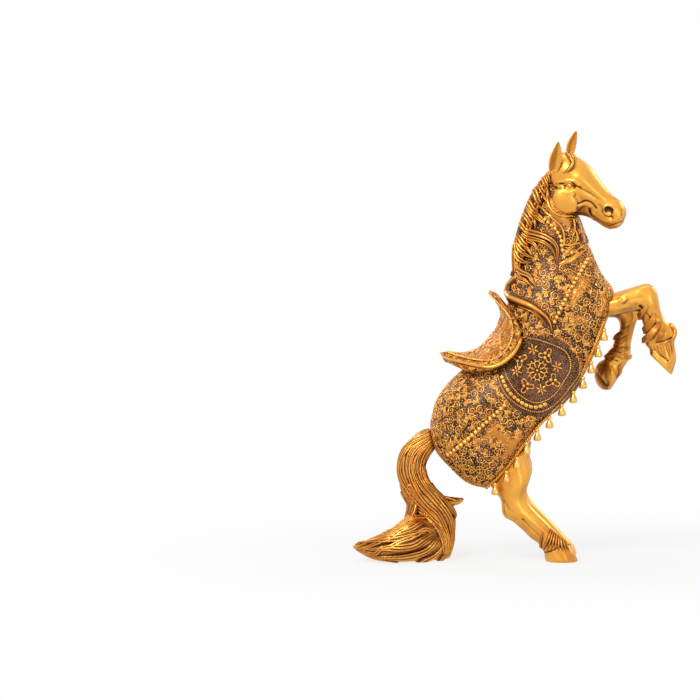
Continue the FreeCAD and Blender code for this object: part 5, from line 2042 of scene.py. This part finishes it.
@dataclass
class Studio:
    """Floor, lamps, world and camera."""

    floor: Colour = linear(246, 246, 246)
    floor_grain: Colour = linear(242, 242, 241)
    half_floor: float = 4.0
    fill: float = 0.18
    aim: tuple[float, float, float] = (0.0, 0.0, 0.17)

    def build(self) -> None:
        """Places everything that isn't part of the horse."""
        self.place_floor()
        self.place_lamps()
        self.place_camera()
        bpy.context.scene.view_settings.view_transform = "Standard"

    def place_floor(self) -> None:
        """Lays a pale floor that the camera sees as white, with the horse's shadow."""
        mesh = bpy.data.meshes.new("floor")
        reach = self.half_floor
        mesh.from_pydata([(-reach, -reach, 0), (reach, -reach, 0), (reach, reach, 0),
                          (-reach, reach, 0)], [], [(0, 1, 2, 3)])
        floor = placed("floor", mesh)
        material = bpy.data.materials.new("floor_paper")
        material.use_nodes = True
        wires = Wiring(material.node_tree)
        shader = material.node_tree.nodes["Principled BSDF"]
        spot = wires.add("ShaderNodeTexCoord").outputs["Object"]
        grain = wires.add("ShaderNodeTexNoise", Vector=spot, Scale=3.0)
        wires.feed(shader.inputs["Base Color"],
                   wires.mix(grain.outputs["Fac"], self.floor, self.floor_grain))
        shader.inputs["Roughness"].default_value = 0.9
        away = wires.add("ShaderNodeVectorMath", {"operation": "LENGTH"})
        wires.feed(away.inputs[0], spot)
        far = wires.add("ShaderNodeMapRange", {"interpolation_type": "SMOOTHSTEP"},
                        Value=away.outputs["Value"], From_Min=0.1, From_Max=0.42, To_Min=0.8)
        glow = wires.add("ShaderNodeEmission", Color=(1.0, 1.0, 1.0))
        blend = wires.add("ShaderNodeMixShader")
        wires.feed(blend.inputs[0], wires.math("MULTIPLY", wires.straight(), far.outputs[0]))
        wires.feed(blend.inputs[1], shader.outputs[0])
        wires.feed(blend.inputs[2], glow.outputs[0])
        wires.feed(material.node_tree.nodes["Material Output"].inputs["Surface"], blend.outputs[0])
        mesh.materials.append(material)

    def place_lamps(self) -> None:
        """Hangs soft boxes round the horse and sets the world."""
        world = bpy.data.worlds.new("studio")
        bpy.context.scene.world = world
        world.use_nodes = True
        wires = Wiring(world.node_tree)
        sky = world.node_tree.nodes["Background"]
        wires.feed(sky.inputs["Color"], (1.0, 1.0, 1.0))
        level = wires.add("ShaderNodeMapRange", Value=wires.straight(), To_Min=self.fill,
                          To_Max=1.0)
        wires.feed(sky.inputs["Strength"], level.outputs[0])
        for name, place, size, power in (
                ("key", (-0.8, -1.2, 1.4), 0.7, 21.0), ("front", (0.9, -1.6, 0.5), 0.35, 4.0),
                ("top", (0.1, 0.1, 1.6), 0.6, 4.0), ("rim", (1.1, 1.0, 0.9), 0.5, 4.0),
                ("back", (-1.0, 1.3, 1.0), 0.5, 5.0)):
            data = bpy.data.lights.new(name, "AREA")
            data.shape, data.size, data.energy = "SQUARE", size, power
            lamp = placed(name, data)
            lamp.location = place
            aim = Vector(self.aim) - Vector(place)
            lamp.rotation_euler = aim.to_track_quat("-Z", "Y").to_euler()

    def place_camera(self) -> None:
        """Stands the camera where the photograph was taken from."""
        data = bpy.data.cameras.new("camera")
        data.lens, data.sensor_width = SIGHT.lens, SIGHT.sensor
        data.clip_start, data.clip_end = 0.05, 30.0
        camera = placed("camera", data)
        camera.location = Vector(SIGHT.eye() * MM)
        camera.rotation_euler = Vector(SIGHT.axes()[1]).to_track_quat("-Z", "Y").to_euler()
        bpy.context.scene.camera = camera


def dress_pins() -> None:
    """Gives the steel dowels, which stay as they are, their finish."""
    for name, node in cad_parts.items():
        if name.endswith("dowel"):
            node.data.materials.clear()
            node.data.materials.append(STEEL.material())


def main() -> None:
    """Builds every sub-assembly in order."""
    logging.basicConfig(level=logging.INFO, format="%(name)s: %(message)s")
    GROUPS["wash"], GROUPS["grain"] = antique_wash_and_shade(), cast_grain()
    dress_pins()
    barding = Barding()
    barding.build()
    trimming = Relief()
    taken = [Throat().build(barding.clay, barding.surface, trimming)]
    trimming.pair("neck_piping", PIPING)
    rows = BeadRows()
    rows.build(barding.surface)
    hem = Hem()
    hem.build(barding.surface)
    Saddle().build()
    Medallion().build(barding.clay)
    crown = Skin(*joined("head", "forelock"))
    taken.append(Mane().build(barding.surface, crown))
    Head().build()
    for ear in EARS:
        ear.build()
    Tail().build()
    RAISED.build()
    FOLDED.build()
    HIND.build()
    replace(HIND, name="hind_leg_left", nodes=("hind_leg_left", "hind_hoof_left")).build()
    covers = Skin(*joined("saddle", "saddle_cloth_right", "saddle_rim_right", "bib", "head"))
    keep_off = np.concatenate([*taken, np.array(rows.centres), hem.path["right"]])
    Filigree().build(barding.clay, barding.surface, covers, keep_off)
    Studio().build()


if __name__ == "__main__":
    main()
